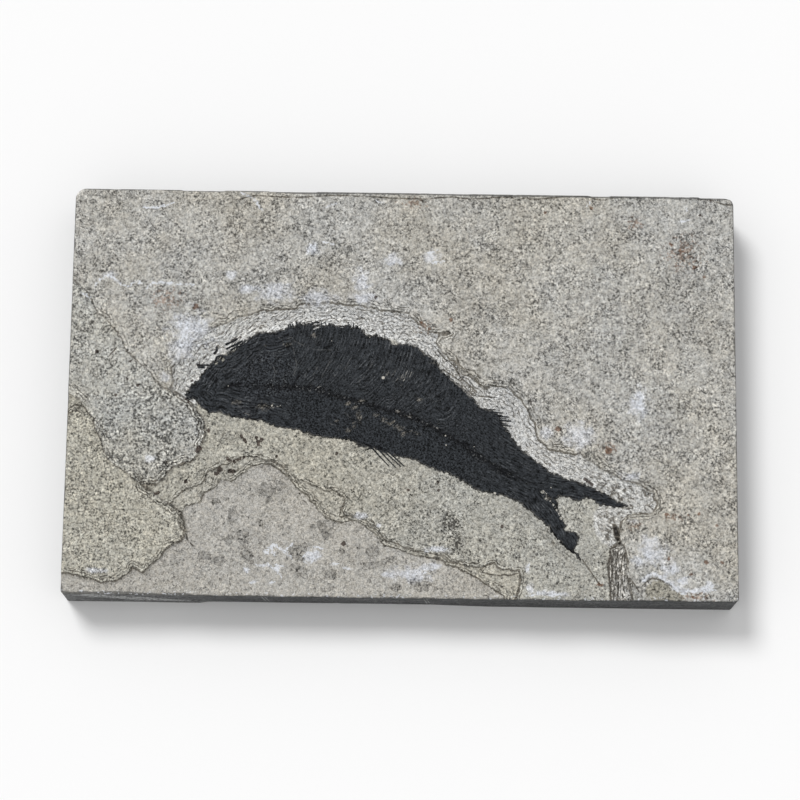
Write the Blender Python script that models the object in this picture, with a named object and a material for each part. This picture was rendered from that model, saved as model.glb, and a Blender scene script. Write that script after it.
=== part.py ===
"""Fossil fish slab: a sawn block of bedded limestone, split and prepared down to one fish.

The block is cut down bed by bed with tapered cutters, as a preparator lowers it, and the fish
is a thin domed plate that lies in its own shallow pocket. Outlines are plan points in
millimetres on the block's face, with +X towards the tail and +Y towards the fish's back.
"""
import math

import bmesh
import bpy
from mathutils import Vector

MM = 0.001

# The sawn block, in millimetres. The origin is the middle of its underside.
SLAB_LENGTH = 190.0
SLAB_WIDTH = 118.0
SLAB_THICKNESS = 16.0
CORNER_RADII = (1.0, 1.0, 2.6, 3.0)   # front left, front right, back right, back left
CORNER_STEPS = 5

# Heights of the split beds above the underside.
LEFT_BED = 15.5
STRIP_BED = 15.4
CORNER_BED = 15.0
FISH_BED = 14.85
STEP_BED = 14.6
PANEL_BED = 14.3
HALO_LIP = 15.6          # where the prepared slope round the fish meets its rim
GROOVE_FLOOR = 14.45
LEDGE_RUN = 0.3          # how far a ledge leans out between its foot and its top
ABOVE = 18.0             # cutters end here, clear of the block
BEYOND = 66.0            # and here, clear of its front edge
BEYOND_LEFT = -101.0

# The fish: a thin plate with a low domed body on it.
FISH_UNDERSIDE = 13.9
FIN_TOP = 14.95
BODY_DOME = 0.75
RIB_HEIGHT = 0.1
SPINE_HEIGHT = 0.2
SPINE_HALF_WIDTH = 0.7
POCKET_GAP = 0.3         # clearance between the fish and the stone under and round it
RIB_PITCH = 2.1
RIB_LEAN = 5.0
RIBS_END = 15.0          # the ribs fade out towards the tail here
GILL_STEP = 0.15         # the head's plates stand above the flank behind the gill cover
GILL_X = -31.5
GILL_Y = 6.0
GILL_BOW = 0.03          # how fast the cover's edge curves forward, away from its middle

# Ledges of the beds, each from its left end to its right end.
LEFT_LEDGE = [
    (-95.2, 32), (-93.4, 30.2), (-90.4, 28), (-89, 25.8), (-87.3, 21.8), (-84.7, 19.9),
    (-81, 16), (-79.7, 13), (-77, 9), (-73.4, 6), (-69.8, 2.3), (-67.5, 0), (-65.5, -0.7)]
CORNER_LEDGE = [
    (-95, -1.4), (-92, -3), (-90.2, -5.3), (-87.8, -8.3), (-86.6, -12.3), (-84.8, -17),
    (-82.5, -21), (-80, -22.5), (-77.3, -24.5), (-73.8, -27.2), (-70.5, -29.6), (-66, -33)]
SNOUT_LEDGE = [
    (-73.3, -27.6), (-69, -27.3), (-67, -25.4), (-65, -23), (-61.7, -21.4), (-58.6, -20.6),
    (-56.6, -16.6), (-56, -12.6), (-56.2, -9), (-61.6, -3)]
STEP_LEDGE = [
    (-65.5, -33), (-61.5, -29.2), (-58, -28), (-56, -26.7), (-54.7, -23.8), (-50.4, -21.4),
    (-44.4, -19), (-40.7, -19), (-34, -21.6), (-28.7, -25.2), (-24.3, -27.2), (-21.4, -29),
    (-18.9, -28.3), (-16, -30.8), (-17, -35.8), (-14, -35.4), (-10.6, -36.6), (-6.2, -39.8),
    (-4, -42.6), (2.3, -44.7), (10.4, -46.3), (16, -48.7), (19.7, -49.8), (23, -50),
    (24.4, -48.8), (26.7, -48.5), (27.9, -50.3), (33.7, -50.6), (34, -53.7), (33, -57.6)]
PANEL_LEDGE = [
    (-62, -35.2), (-60.9, -33.4), (-56.6, -32.4), (-55.3, -29.4), (-53, -28.1), (-51, -26),
    (-47.7, -26), (-43.2, -22.8), (-40.4, -21.4), (-34.5, -23), (-28.5, -28.7),
    (-25.7, -31), (-20.6, -37.2), (-14, -37.2), (-11, -38.2), (-6.8, -41.4), (-4.6, -44),
    (2, -46.2), (10.2, -47.8), (15.9, -50.2), (22, -53.4), (29, -57.6)]
PANEL_CORNER_LEDGE = [
    (-94.8, -53.3), (-91.8, -53.4), (-87.7, -54.8), (-83.6, -55.7), (-79, -54.7),
    (-76.3, -53), (-74.8, -51.6), (-72, -52.8), (-68.3, -49), (-64.4, -44.8),
    (-61.4, -43.4), (-60.3, -41), (-61, -38)]
STRIP_LEDGE = [(62.6, -43), (63.3, -45), (64.1, -48.4), (63.4, -51.3), (64.4, -54.7), (65.4, -60)]
STRIP_FOOT = [(60.5, -37.4), (60, -43.4), (58.7, -45.2), (58.5, -48.2), (58.9, -54.7), (59.5, -60)]
GROOVE = [(60.6, -37.6), (61.9, -37.9), (62.6, -40.5), (63.1, -44.2), (61.9, -43.6), (61.2, -40.5)]

# The prepared slope: its rim, and for each point of the rim the foot below it by the fish.
HALO_RIM = [
    (-65.3, -0.5), (-65.3, 2.5), (-66, 5.6), (-64.5, 8), (-61.9, 9.2), (-60.5, 12.6),
    (-57.4, 16.3), (-52.9, 18.6), (-47.4, 21), (-41, 23), (-36.5, 24), (-31, 24.1),
    (-29.5, 25.4), (-22, 25.9), (-14, 25.2), (-3.2, 23.8), (2, 23), (4, 20.6), (7, 18.2),
    (9.4, 17.5), (14, 17.6), (10.2, 16.2), (9.6, 14.5), (12, 11.4), (16, 8), (17, 6),
    (19.4, 4.8), (21.5, 3), (23.1, 1.2), (24.7, 2.4), (28, 2.1), (31, 1), (33.7, -1.6),
    (35.8, -5), (37, -7.5), (38.3, -10.5), (39.1, -13.7), (41.6, -15.6), (47, -17.1),
    (50.6, -17.5), (56.5, -21.3), (62, -24.1), (67, -25.8), (71, -28), (72.4, -31.3),
    (71, -34), (67, -34.5), (64, -34.8), (62.3, -36.6)]
HALO_FOOT = [
    (-63.6, -2), (-62.6, 0.6), (-60.8, 3), (-58.8, 5), (-57, 7.4), (-55.4, 9.6),
    (-51.6, 11.4), (-48.2, 13.6), (-44.6, 16.4), (-40.8, 18.2), (-36.4, 18.8), (-31.4, 20.6),
    (-27.4, 21.1), (-21, 20.7), (-13.2, 20.2), (-4, 17.2), (1.4, 15.4), (4.4, 14.5),
    (6.6, 12.8), (8.2, 11.8), (9.2, 11.1), (9.8, 10.4), (10.6, 9.5), (12.6, 7.2), (15.4, 4.8),
    (17, 3.2), (18.4, 2), (20, 0.2), (22.2, -2.4), (24, -3.2), (26.8, -3.6), (31, -4.4),
    (33.2, -6.6), (33.4, -9.4), (33.2, -11.8), (34.4, -14.2), (36, -16.2), (38.6, -18.2),
    (42.4, -20.8), (46.2, -22.4), (51, -23.9), (56, -25.8), (59.6, -27.8), (63, -29.8),
    (66, -32), (64.6, -33.4), (62, -34), (60.6, -35), (60.2, -36.8)]

# The fish's outline, snout to tail along the back, round the fork, and home along the belly.
FISH_BACK = [
    (-61.7, -1.5), (-60.4, 1.1), (-57.9, 3.7), (-55.2, 7.2), (-53.2, 9.2), (-49.3, 10.8),
    (-45.9, 14), (-43, 15.8), (-40, 17), (-36, 17.5), (-31, 19.4), (-27.2, 19.9),
    (-21, 19.5), (-13.7, 19.2), (-10, 16.9), (-4.5, 15.9), (-3, 14.5), (1, 14.1), (4, 13.2),
    (6.4, 11.4), (9.2, 9.8), (11.8, 6.2), (14.7, 3.5), (17.4, 1.4), (19.4, -1), (22.3, -3.8),
    (26, -4.8)]
DORSAL_FIN = [(31, -6), (29.8, -7), (31.8, -7.7), (30, -8.5), (30.8, -9.6), (29.2, -9.9)]
TAIL_BACK = [
    (30.6, -11.2), (31.9, -13.3), (33.6, -15.6), (35.5, -17.4), (38, -19.4), (41.8, -22.2)]
TAIL_FORK = [
    (45.8, -23.8), (50.6, -25.3), (55.5, -27.2), (59, -29.2), (64, -32), (58.2, -32.2),
    (53.6, -30.4), (49.4, -30.8), (47, -29.6), (43.9, -30.4), (44.2, -33), (46.6, -37.6),
    (49.6, -39.6), (50.2, -41.4), (49.3, -43.6), (51.2, -48), (47, -44.7)]
TAIL_BELLY = [
    (44.2, -41.9), (41.9, -38.6), (38.3, -35.4), (35.5, -33.4), (31.2, -30.6), (25.1, -28.7),
    (21.8, -27.9), (18.4, -26.3), (15.1, -24.2), (10.4, -22.8), (5.9, -20.6), (2, -19.2),
    (-2.2, -18.4)]
PELVIC_FIN = [(0.8, -21.5), (-1.4, -20.9), (-1, -22.3), (-3, -21), (-3.4, -22.2), (-8, -17.2)]
FISH_BELLY = [
    (-12, -15.3), (-15, -14.2), (-22, -13.2), (-29, -11.7), (-33, -11), (-39.5, -9.1),
    (-44, -8.5), (-47.6, -7.9), (-51.7, -6.8), (-54.5, -6.6), (-57.7, -4.7), (-59.8, -3)]
BACKBONE = [(-61.7, -1.5), (-32, 0.6), (-18, -0.9), (2, -8.5), (18, -16.6), (31, -22.8), (42, -29)]
BODY_START = -60.6
BODY_END = 42.6
BODY_INSET = 0.5         # the dome stops this far inside the plate's edge

# Rays of the two tail lobes, each as (root, tip).
TAIL_RAYS = [
    ((41, -23.6), (60, -30.4)), ((41.4, -25.4), (56, -30.2)), ((41.2, -27.2), (51.4, -29.2)),
    ((40.6, -30.4), (46.4, -40.2)), ((39.4, -32), (48, -42)), ((38.6, -33.6), (49, -45.6))]
RAY_WIDTH = 0.6
RAY_HEIGHT = 0.25

# Flakes broken from the block's top edges: (middle, half length, depth in plan, height).
BACK_FLAKES = [(-58, 6.5, 1.9, 0.7), (-32, 7, 1.3, 0.6), (56, 3.4, 1.1, 0.7), (89.5, 4.6, 2.4, 0.9)]
FRONT_FLAKES = [(-66, 8, 0.9, 0.6), (-4, 11, 0.8, 0.5), (48, 6, 0.7, 0.5)]
SPALL_START = -55.0      # the front's lower edge has come away from here
SPALL_END = 22.0
SPALL_DEPTH = 0.8
SPALL_HEIGHT = 2.6

STONE_COLOUR = (0.42, 0.40, 0.355, 1)
FISH_COLOUR = (0.021, 0.022, 0.024, 1)


def clear_scene():
    for item in list(bpy.data.objects):
        bpy.data.objects.remove(item, do_unlink=True)


def material(name, colour, roughness):
    finish = bpy.data.materials.new(name)
    finish.use_nodes = True
    shader = finish.node_tree.nodes["Principled BSDF"]
    shader.inputs["Base Color"].default_value = colour
    shader.inputs["Roughness"].default_value = roughness
    shader.inputs["Metallic"].default_value = 0.0
    return finish


def object_from(name, bm):
    bmesh.ops.recalc_face_normals(bm, faces=bm.faces)
    mesh = bpy.data.meshes.new(name)
    bm.to_mesh(mesh)
    bm.free()
    item = bpy.data.objects.new(name, mesh)
    bpy.context.scene.collection.objects.link(item)
    return item


def point(x, y, z):
    return Vector((x, y, z)) * MM


def lofted(name, rings):
    """A closed solid through rings, each (plan points, height), all with one point count."""
    bm = bmesh.new()
    loops = [[bm.verts.new(point(x, y, height)) for x, y in plan] for plan, height in rings]
    count = len(loops[0])
    for lower, upper in zip(loops, loops[1:]):
        for i in range(count):
            j = (i + 1) % count
            bm.faces.new((lower[i], lower[j], upper[j], upper[i]))
    bm.faces.new(loops[0])
    bm.faces.new(loops[-1])
    bmesh.ops.triangulate(bm, faces=bm.faces)
    return object_from(name, bm)


def is_clockwise(plan):
    pairs = zip(plan, plan[1:] + plan[:1])
    return sum((x1 - x0) * (y1 + y0) for (x0, y0), (x1, y1) in pairs) > 0


def grown(plan, distance):
    """The outline moved outwards, each point along the mean of its two sides' normals."""
    turn = 1 if is_clockwise(plan) else -1
    moved = []
    for i, here in enumerate(plan):
        before = Vector(plan[i - 1])
        after = Vector(plan[(i + 1) % len(plan)])
        spot = Vector(here)
        side_in = (spot - before).normalized()
        side_out = (after - spot).normalized()
        normal = Vector((-side_in.y - side_out.y, side_in.x + side_out.x)).normalized() * turn
        reach = distance / max(0.5, abs(normal.dot(Vector((-side_in.y, side_in.x)))))
        moved.append(tuple(spot + normal * reach))
    return moved


def bed_cutter(name, plan, floor):
    """Everything inside a plan outline, above a bed, with its sides leaning outwards."""
    brink = grown(plan, LEDGE_RUN)
    return lofted(name, [(plan, floor), (brink, SLAB_THICKNESS), (brink, ABOVE)])


def boolean(target, tool, operation):
    """Apply one exact Boolean and drop its tool."""
    step = target.modifiers.new(tool.name, "BOOLEAN")
    step.operation = operation
    step.solver = "EXACT"
    step.object = tool
    graph = bpy.context.evaluated_depsgraph_get()
    result = bpy.data.meshes.new_from_object(target.evaluated_get(graph))
    target.modifiers.clear()
    target.data = result
    bpy.data.objects.remove(tool, do_unlink=True)


def slab_plan():
    """The sawn rectangle with an arc at each corner, anticlockwise from the front left."""
    half_x = SLAB_LENGTH / 2
    half_y = SLAB_WIDTH / 2
    corners = [(-half_x, -half_y), (half_x, -half_y), (half_x, half_y), (-half_x, half_y)]
    plan = []
    for number, ((x, y), radius) in enumerate(zip(corners, CORNER_RADII)):
        centre_x = x - math.copysign(radius, x)
        centre_y = y - math.copysign(radius, y)
        for step in range(CORNER_STEPS + 1):
            angle = math.pi + (number + step / CORNER_STEPS) * math.pi / 2
            plan.append((centre_x + radius * math.cos(angle), centre_y + radius * math.sin(angle)))
    return plan


def fish_plan():
    return FISH_BACK + DORSAL_FIN + TAIL_BACK + TAIL_FORK + TAIL_BELLY + PELVIC_FIN + FISH_BELLY


def basin_rim():
    """The lowered field with the fish in it: its top edge."""
    front = [(59.5, -BEYOND), (-59, -BEYOND), (-59.2, -41), (-61, -35.8)]
    return HALO_RIM + STRIP_FOOT[1:] + front + SNOUT_LEDGE


def basin_foot():
    """The same field's bottom edge, which runs in under the fish's back along the slope."""
    rest = basin_rim()[len(HALO_RIM):]
    return HALO_FOOT + rest


def halo_cutter():
    rim = basin_rim()
    rings = [(basin_foot(), FISH_BED), (rim, HALO_LIP), (rim, ABOVE)]
    return lofted("halo_cutter", rings)


def left_cutter():
    front = [(-61.5, -2.6), (-55, -9), (-55, -BEYOND), (BEYOND_LEFT, -BEYOND)]
    return bed_cutter("left_cutter", [(BEYOND_LEFT, 34)] + LEFT_LEDGE + front, LEFT_BED)


def corner_cutter():
    front = [(-60, -35.8), (-58.6, -BEYOND), (BEYOND_LEFT, -BEYOND)]
    return bed_cutter("corner_cutter", [(BEYOND_LEFT, -0.5)] + CORNER_LEDGE + front, CORNER_BED)


def step_cutter():
    plan = STEP_LEDGE + [(33, -BEYOND), (-60, -BEYOND), (-60, -36)]
    return bed_cutter("step_cutter", plan, STEP_BED)


def panel_cutter():
    plan = PANEL_LEDGE + [(30.5, -BEYOND), (BEYOND_LEFT, -BEYOND), (BEYOND_LEFT, -52.5)]
    return bed_cutter("panel_cutter", plan + PANEL_CORNER_LEDGE, PANEL_BED)


def strip_cutter():
    plan = STRIP_LEDGE + [(65.6, -BEYOND), (57, -BEYOND), (57, -44)]
    return bed_cutter("strip_cutter", plan, STRIP_BED)


def groove_cutter():
    return bed_cutter("groove_cutter", GROOVE, GROOVE_FLOOR)


def flake_cutter(middle, half_length, depth, height, side):
    """A shallow shell broken from a top edge: deepest in its middle, tapering to its ends."""
    edge = side * SLAB_WIDTH / 2
    inner = edge - side * depth
    outside = edge + side * 3
    low = SLAB_THICKNESS - height
    flank = 0.45 * half_length
    plan = [(middle - half_length, edge + side * 0.4), (middle - flank, inner + side * 0.3),
            (middle + flank, inner), (middle + half_length, edge + side * 0.4),
            (middle + half_length, outside), (middle - half_length, outside)]
    top = grown(plan, 0.35)
    return lofted("flake_cutter", [(plan, low), (top, SLAB_THICKNESS + 0.6)])


def spall_cutter():
    """The flake gone from under the front face: a long low wedge."""
    face = -SLAB_WIDTH / 2
    low = [(SPALL_START - 4, face - 2), (SPALL_END + 6, face - 2),
           (SPALL_END + 6, face + 0.05), (SPALL_END - 14, face + 0.6 * SPALL_DEPTH),
           (SPALL_START, face + SPALL_DEPTH), (SPALL_START - 4, face + 0.1)]
    high = [(SPALL_START - 4, face - 2), (SPALL_END + 6, face - 2),
            (SPALL_END + 6, face - 0.1), (SPALL_END - 14, face - 0.05),
            (SPALL_START, face - 0.05), (SPALL_START - 4, face - 0.1)]
    return lofted("spall_cutter", [(low, -1), (high, SPALL_HEIGHT)])


def height_on(line, x):
    """The y of a left-to-right line at x."""
    for (x0, y0), (x1, y1) in zip(line, line[1:]):
        if x <= x1:
            return y0 + (y1 - y0) * (x - x0) / (x1 - x0)
    return line[-1][1]


def body_section(s):
    """Seven points across the body at one station, belly to back, as (x, y, height)."""
    back = FISH_BACK + TAIL_BACK
    belly = list(reversed(TAIL_BELLY[1:] + FISH_BELLY))
    belly = [FISH_BACK[0]] + belly
    ends_fade = min(1.0, (s - BODY_START) / 14, (BODY_END - s) / 20)
    lean = RIB_LEAN * max(0.0, ends_fade)
    low = height_on(belly, s - 0.5 * lean) + BODY_INSET
    high = height_on(back, s + 0.5 * lean) - BODY_INSET
    margin = 0.3 * (high - low)
    middle = min(max(height_on(BACKBONE, s), low + margin), high - margin)
    width = min(SPINE_HALF_WIDTH, 0.5 * margin)
    under = middle - width
    over = middle + width
    rows = [low, low + 0.35 * (under - low), low + 0.7 * (under - low), under, middle,
            over, over + 0.3 * (high - over), over + 0.65 * (high - over), high]
    rib = RIB_HEIGHT if round((s - BODY_START) / RIB_PITCH) % 2 else -RIB_HEIGHT
    rib *= max(0.0, min(1.0, (RIBS_END - s) / 12, (s + 34) / 6))
    section = []
    for y in rows:
        across = (y - low) / (high - low)
        rise = BODY_DOME * min(1.0, (high - low) / 22) * max(0.0, math.sin(math.pi * across)) ** 0.6
        spine = SPINE_HEIGHT if y == middle and s > -32 else 0.0
        x = s + lean * (across - 0.5)
        gill = GILL_STEP if x < GILL_X - GILL_BOW * (y - GILL_Y) ** 2 else 0.0
        edge = 0.0 if y in (low, high) else 1.0
        section.append((x, y, FIN_TOP + 0.02 + edge * (rise + rib + gill) + spine))
    return section


def fish_body():
    """The domed body: a ribbon of leaning stations, skirted down into the plate."""
    count = int((BODY_END - BODY_START) / RIB_PITCH)
    sections = [body_section(BODY_START + RIB_PITCH * i) for i in range(count + 1)]
    bm = bmesh.new()
    rows = [[bm.verts.new(point(*spot)) for spot in section] for section in sections]
    for left, right in zip(rows, rows[1:]):
        for i in range(len(left) - 1):
            bm.faces.new((left[i], right[i], right[i + 1], left[i + 1]))
    rim = [edge for edge in bm.edges if edge.is_boundary]
    skirt = bmesh.ops.extrude_edge_only(bm, edges=rim)["geom"]
    for vertex in [part for part in skirt if isinstance(part, bmesh.types.BMVert)]:
        vertex.co.z = (FIN_TOP - 0.5) * MM
    bmesh.ops.holes_fill(bm, edges=bm.edges)
    bmesh.ops.triangulate(bm, faces=bm.faces)
    return object_from("fish_body", bm)


def tail_ray(root, tip):
    """One tapered bar that stands a little proud of the tail."""
    along = (Vector(tip) - Vector(root)).normalized()
    across = Vector((-along.y, along.x)) * RAY_WIDTH / 2
    plan = [tuple(Vector(root) - across), tuple(Vector(tip) - across * 0.5),
            tuple(Vector(tip) + across * 0.5), tuple(Vector(root) + across)]
    crest = [tuple(Vector(root) - across * 0.4), tuple(Vector(tip) - across * 0.2),
             tuple(Vector(tip) + across * 0.2), tuple(Vector(root) + across * 0.4)]
    rings = [(plan, FIN_TOP - 0.4), (plan, FIN_TOP + 0.03), (crest, FIN_TOP + RAY_HEIGHT)]
    return lofted("tail_ray", rings)


def make_fish():
    plan = fish_plan()
    fish = lofted("fossil_fish", [(plan, FISH_UNDERSIDE), (plan, FIN_TOP)])
    boolean(fish, fish_body(), "UNION")
    for root, tip in TAIL_RAYS:
        boolean(fish, tail_ray(root, tip), "UNION")
    fish.data.materials.append(material("carbonised_bone", FISH_COLOUR, 0.55))
    return fish


def make_slab():
    plan = slab_plan()
    slab = lofted("stone_slab", [(plan, 0), (plan, SLAB_THICKNESS)])
    for tool in (left_cutter(), strip_cutter(), corner_cutter(), halo_cutter(), step_cutter(),
                 panel_cutter(), groove_cutter(), spall_cutter()):
        boolean(slab, tool, "DIFFERENCE")
    for flake in BACK_FLAKES:
        boolean(slab, flake_cutter(*flake, side=1), "DIFFERENCE")
    for flake in FRONT_FLAKES:
        boolean(slab, flake_cutter(*flake, side=-1), "DIFFERENCE")
    pocket_plan = grown(fish_plan(), POCKET_GAP)
    pocket_floor = FISH_UNDERSIDE - POCKET_GAP
    pocket = lofted("fish_pocket", [(pocket_plan, pocket_floor), (pocket_plan, ABOVE)])
    boolean(slab, pocket, "DIFFERENCE")
    slab.data.materials.append(material("limestone", STONE_COLOUR, 0.9))
    return slab


clear_scene()
make_slab()
make_fish()
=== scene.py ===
# %% [markdown]
# # A fossil fish on a slab of split limestone
# The slab is a sawn block of bedded limestone. Its face was split and then scraped down
# bed by bed until a small fish lay bare: a black film of carbonised bone and skin.
# The solids of the frame give the real size and the heights of the beds. This script gives
# the two natural surfaces their looks: the broken, speckled stone and the fine black film.
# Everything is written in millimetres and turned into metres where a mesh is made.

# %% Load the frame
import math
import random

import bmesh
import bpy
import numpy as np
from mathutils import Matrix, Vector, noise


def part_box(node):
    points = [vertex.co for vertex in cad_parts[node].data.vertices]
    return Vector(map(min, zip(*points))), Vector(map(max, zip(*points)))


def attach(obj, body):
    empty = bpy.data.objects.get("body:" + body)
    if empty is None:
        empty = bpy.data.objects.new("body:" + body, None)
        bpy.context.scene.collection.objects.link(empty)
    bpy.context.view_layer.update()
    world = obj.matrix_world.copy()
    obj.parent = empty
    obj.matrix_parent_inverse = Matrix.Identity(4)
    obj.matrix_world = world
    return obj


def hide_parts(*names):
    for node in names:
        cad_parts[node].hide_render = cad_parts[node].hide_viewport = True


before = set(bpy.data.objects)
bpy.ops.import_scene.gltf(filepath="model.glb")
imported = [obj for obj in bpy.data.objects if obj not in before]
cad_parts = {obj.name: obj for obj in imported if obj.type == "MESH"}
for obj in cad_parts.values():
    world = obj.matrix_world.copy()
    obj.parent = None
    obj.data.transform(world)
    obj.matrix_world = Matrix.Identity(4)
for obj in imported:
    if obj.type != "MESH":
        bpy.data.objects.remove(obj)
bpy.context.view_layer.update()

MM = 0.001
SLAB_LOW = [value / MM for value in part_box("stone_slab")[0]]
SLAB_HIGH = [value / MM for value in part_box("stone_slab")[1]]
FISH_LOW = [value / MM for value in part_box("fossil_fish")[0]]
FISH_HIGH = [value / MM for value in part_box("fossil_fish")[1]]
HALF_LENGTH = SLAB_HIGH[0]
HALF_WIDTH = SLAB_HIGH[1]
TOP = SLAB_HIGH[2]
print("slab", [round(value, 1) for value in SLAB_LOW + SLAB_HIGH])
print("fish", [round(value, 1) for value in FISH_LOW + FISH_HIGH])

# %% [markdown]
# The slab lies on a pale table and is seen from almost straight above. The camera stands
# far off with a long lens, so that the block's edges stay nearly parallel.

# %% Camera
CAMERA_PLACE = (-2.9, -175.6, 776.5)
CAMERA_TILT = 12.826
CAMERA_SLANT = -0.168
CAMERA_ROLL = 0.803
CAMERA_LENS = 123.54
SENSOR = 36.0


def make_camera():
    data = bpy.data.cameras.new("camera")
    data.lens = CAMERA_LENS
    data.sensor_width = SENSOR
    camera = bpy.data.objects.new("camera", data)
    bpy.context.scene.collection.objects.link(camera)
    tilt = Matrix.Rotation(math.radians(CAMERA_TILT), 4, "X")
    slant = Matrix.Rotation(math.radians(CAMERA_SLANT), 4, "Y")
    roll = Matrix.Rotation(math.radians(CAMERA_ROLL), 4, "Z")
    camera.matrix_world = Matrix.Translation(Vector(CAMERA_PLACE) * MM) @ tilt @ slant @ roll
    bpy.context.scene.camera = camera
    return camera


make_camera()
print("camera looks down", CAMERA_TILT, "degrees from the vertical")

# %% [markdown]
# Relief this low only shows in light that comes in from one side. A broad sun from the back
# left draws the ledges, and an even sky fills the rest, as under a white studio tent. The
# plain sRGB view keeps the stone's greys as they are painted.

# %% Light and table
SKY_STRENGTH = 0.62
SUN_STRENGTH = 1.75
SUN_SOFTNESS = 22.0
SUN_FROM = (-0.55, 0.75, 1.15)
TABLE_SIZE = 3.0


def make_light():
    world = bpy.data.worlds.new("sky")
    world.use_nodes = True
    world.node_tree.nodes["Background"].inputs["Strength"].default_value = SKY_STRENGTH
    world.node_tree.nodes["Background"].inputs["Color"].default_value = (1, 1, 1, 1)
    bpy.context.scene.world = world
    data = bpy.data.lights.new("window", "SUN")
    data.energy = SUN_STRENGTH
    data.angle = math.radians(SUN_SOFTNESS)
    sun = bpy.data.objects.new("window", data)
    sun.rotation_euler = Vector(SUN_FROM).to_track_quat("Z", "Y").to_euler()
    bpy.context.scene.collection.objects.link(sun)
    bpy.context.scene.view_settings.view_transform = "Standard"


def make_table():
    bm = bmesh.new()
    bmesh.ops.create_grid(bm, x_segments=8, y_segments=8, size=TABLE_SIZE / 2)
    mesh = bpy.data.meshes.new("table_top")
    bm.to_mesh(mesh)
    bm.free()
    table = bpy.data.objects.new("table_top", mesh)
    bpy.context.scene.collection.objects.link(table)
    finish = bpy.data.materials.new("table_white")
    finish.use_nodes = True
    shader = finish.node_tree.nodes["Principled BSDF"]
    shader.inputs["Base Color"].default_value = (0.93, 0.93, 0.93, 1)
    shader.inputs["Roughness"].default_value = 0.9
    mesh.materials.append(finish)


make_light()
make_table()
print("one sun and an even sky")

# %% [markdown]
# ## The lines of the split face
# Each bed ends in a ledge where it broke. A ledge is drawn here as a few plan points, in
# millimetres from the slab's middle. Regions are closed outlines that run past the slab's
# edges. They are roughened afterwards, because a real break wanders at every scale.

# %% Ledges between the beds
BEYOND = 66.0
BEYOND_LEFT = -101.0
LEFT_LEDGE = [
    (-95.2, 32), (-93.4, 30.2), (-90.4, 28.1), (-89.1, 25.8), (-87.3, 21.8), (-84.7, 19.9),
    (-83.2, 18.5), (-81.1, 16.1), (-79.7, 13), (-76.9, 9), (-73.4, 6.1), (-69.8, 2.3),
    (-67.5, 0), (-65.5, -0.7)]
CORNER_LEDGE = [
    (-95, -1.4), (-92.2, -3), (-90.2, -5.3), (-87.8, -8.3), (-86.6, -12.3), (-84.8, -17),
    (-82.5, -21), (-80, -22.4), (-77.3, -24.5), (-73.8, -27.2), (-70.6, -29.6),
    (-68.2, -31.7), (-66, -33)]
SNOUT_LEDGE = [
    (-73.3, -27.6), (-71.7, -27.9), (-69, -27.6), (-66.9, -25.4), (-65, -22.9),
    (-61.7, -21.4), (-58.6, -20.6), (-56.6, -16.6), (-56, -12.6), (-56.1, -9), (-61.7, -2.4)]
STEP_LEDGE = [
    (-65.3, -33), (-63.4, -30.9), (-61.5, -29.2), (-58, -28.1), (-56, -26.7), (-54.7, -23.8),
    (-50.4, -21.4), (-44.4, -19.1), (-40.7, -19.1), (-37.4, -20.2), (-33.9, -21.6),
    (-30.8, -24.4), (-28.7, -25.4), (-24.3, -27.4), (-21.4, -29), (-18.9, -28.3),
    (-16, -30.8), (-16.7, -34.1), (-17, -36), (-14.1, -35.6), (-10.6, -36.7), (-6.2, -39.9),
    (-4, -42.7), (-1.2, -43.4), (2.3, -44.8), (5, -45.6), (10.4, -46.4), (12.6, -47.5),
    (16.1, -48.8), (19.7, -49.8), (23, -50), (24.4, -48.8), (26.7, -48.5), (27.9, -50.3),
    (31.3, -50.9), (33.7, -50.6), (34, -53.7), (33.1, -57.6)]
PANEL_LEDGE = [
    (-61.8, -35.4), (-60.9, -33.6), (-58.5, -32.9), (-56.6, -32.6), (-55.3, -29.4),
    (-53, -28.3), (-51.1, -25.9), (-47.7, -26.1), (-43.2, -22.7), (-40.4, -21.3),
    (-37.4, -21.3), (-34.4, -22.6), (-31.4, -25.4), (-28.4, -28.5), (-25.6, -31),
    (-23, -34.3), (-20.7, -37), (-17, -37.5), (-14.1, -36.9), (-10.9, -38), (-6.7, -41.2),
    (-4.4, -44), (-1.4, -44.7), (2.1, -46.1), (5, -46.8), (10.2, -47.7), (12.4, -48.7),
    (15.9, -50.1), (19.5, -51.6), (22, -53.3), (24.2, -55), (27.1, -56.4), (29.6, -58)]
PANEL_CORNER_LEDGE = [
    (-94.6, -53.3), (-91.8, -53.4), (-87.7, -54.8), (-83.6, -55.7), (-78.9, -54.7),
    (-76.3, -53.2), (-74.9, -51.5), (-71.9, -52.9), (-70.9, -51.7), (-68.3, -49),
    (-66, -46.5), (-64.4, -44.8), (-61.6, -43.4), (-60.3, -41.1), (-61.1, -37.9)]
STRIP_LEDGE = [
    (62.9, -43.5), (63.3, -45), (64.1, -48.4), (63.4, -51.3), (64.4, -54.7), (65.3, -58.6)]
STRIP_FOOT = [
    (60.6, -37.3), (60.6, -43.7), (59.3, -44.3), (58.7, -47.7), (58.6, -50.8), (58.9, -53.4),
    (59.1, -56.1), (59.3, -58.7)]
GROOVE = [(60.1, -37.3), (60.9, -38.1), (61.8, -40.3), (62.3, -43.2), (61.5, -43.4), (60.8, -40.9),
          (60.2, -38.8)]
print("ledge points", sum(map(len, (LEFT_LEDGE, CORNER_LEDGE, STEP_LEDGE, PANEL_LEDGE))))

# %% [markdown]
# The preparator scraped a slope round the fish's back. Its rim is where the untouched bed
# begins, and its foot is the fish itself.

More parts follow.
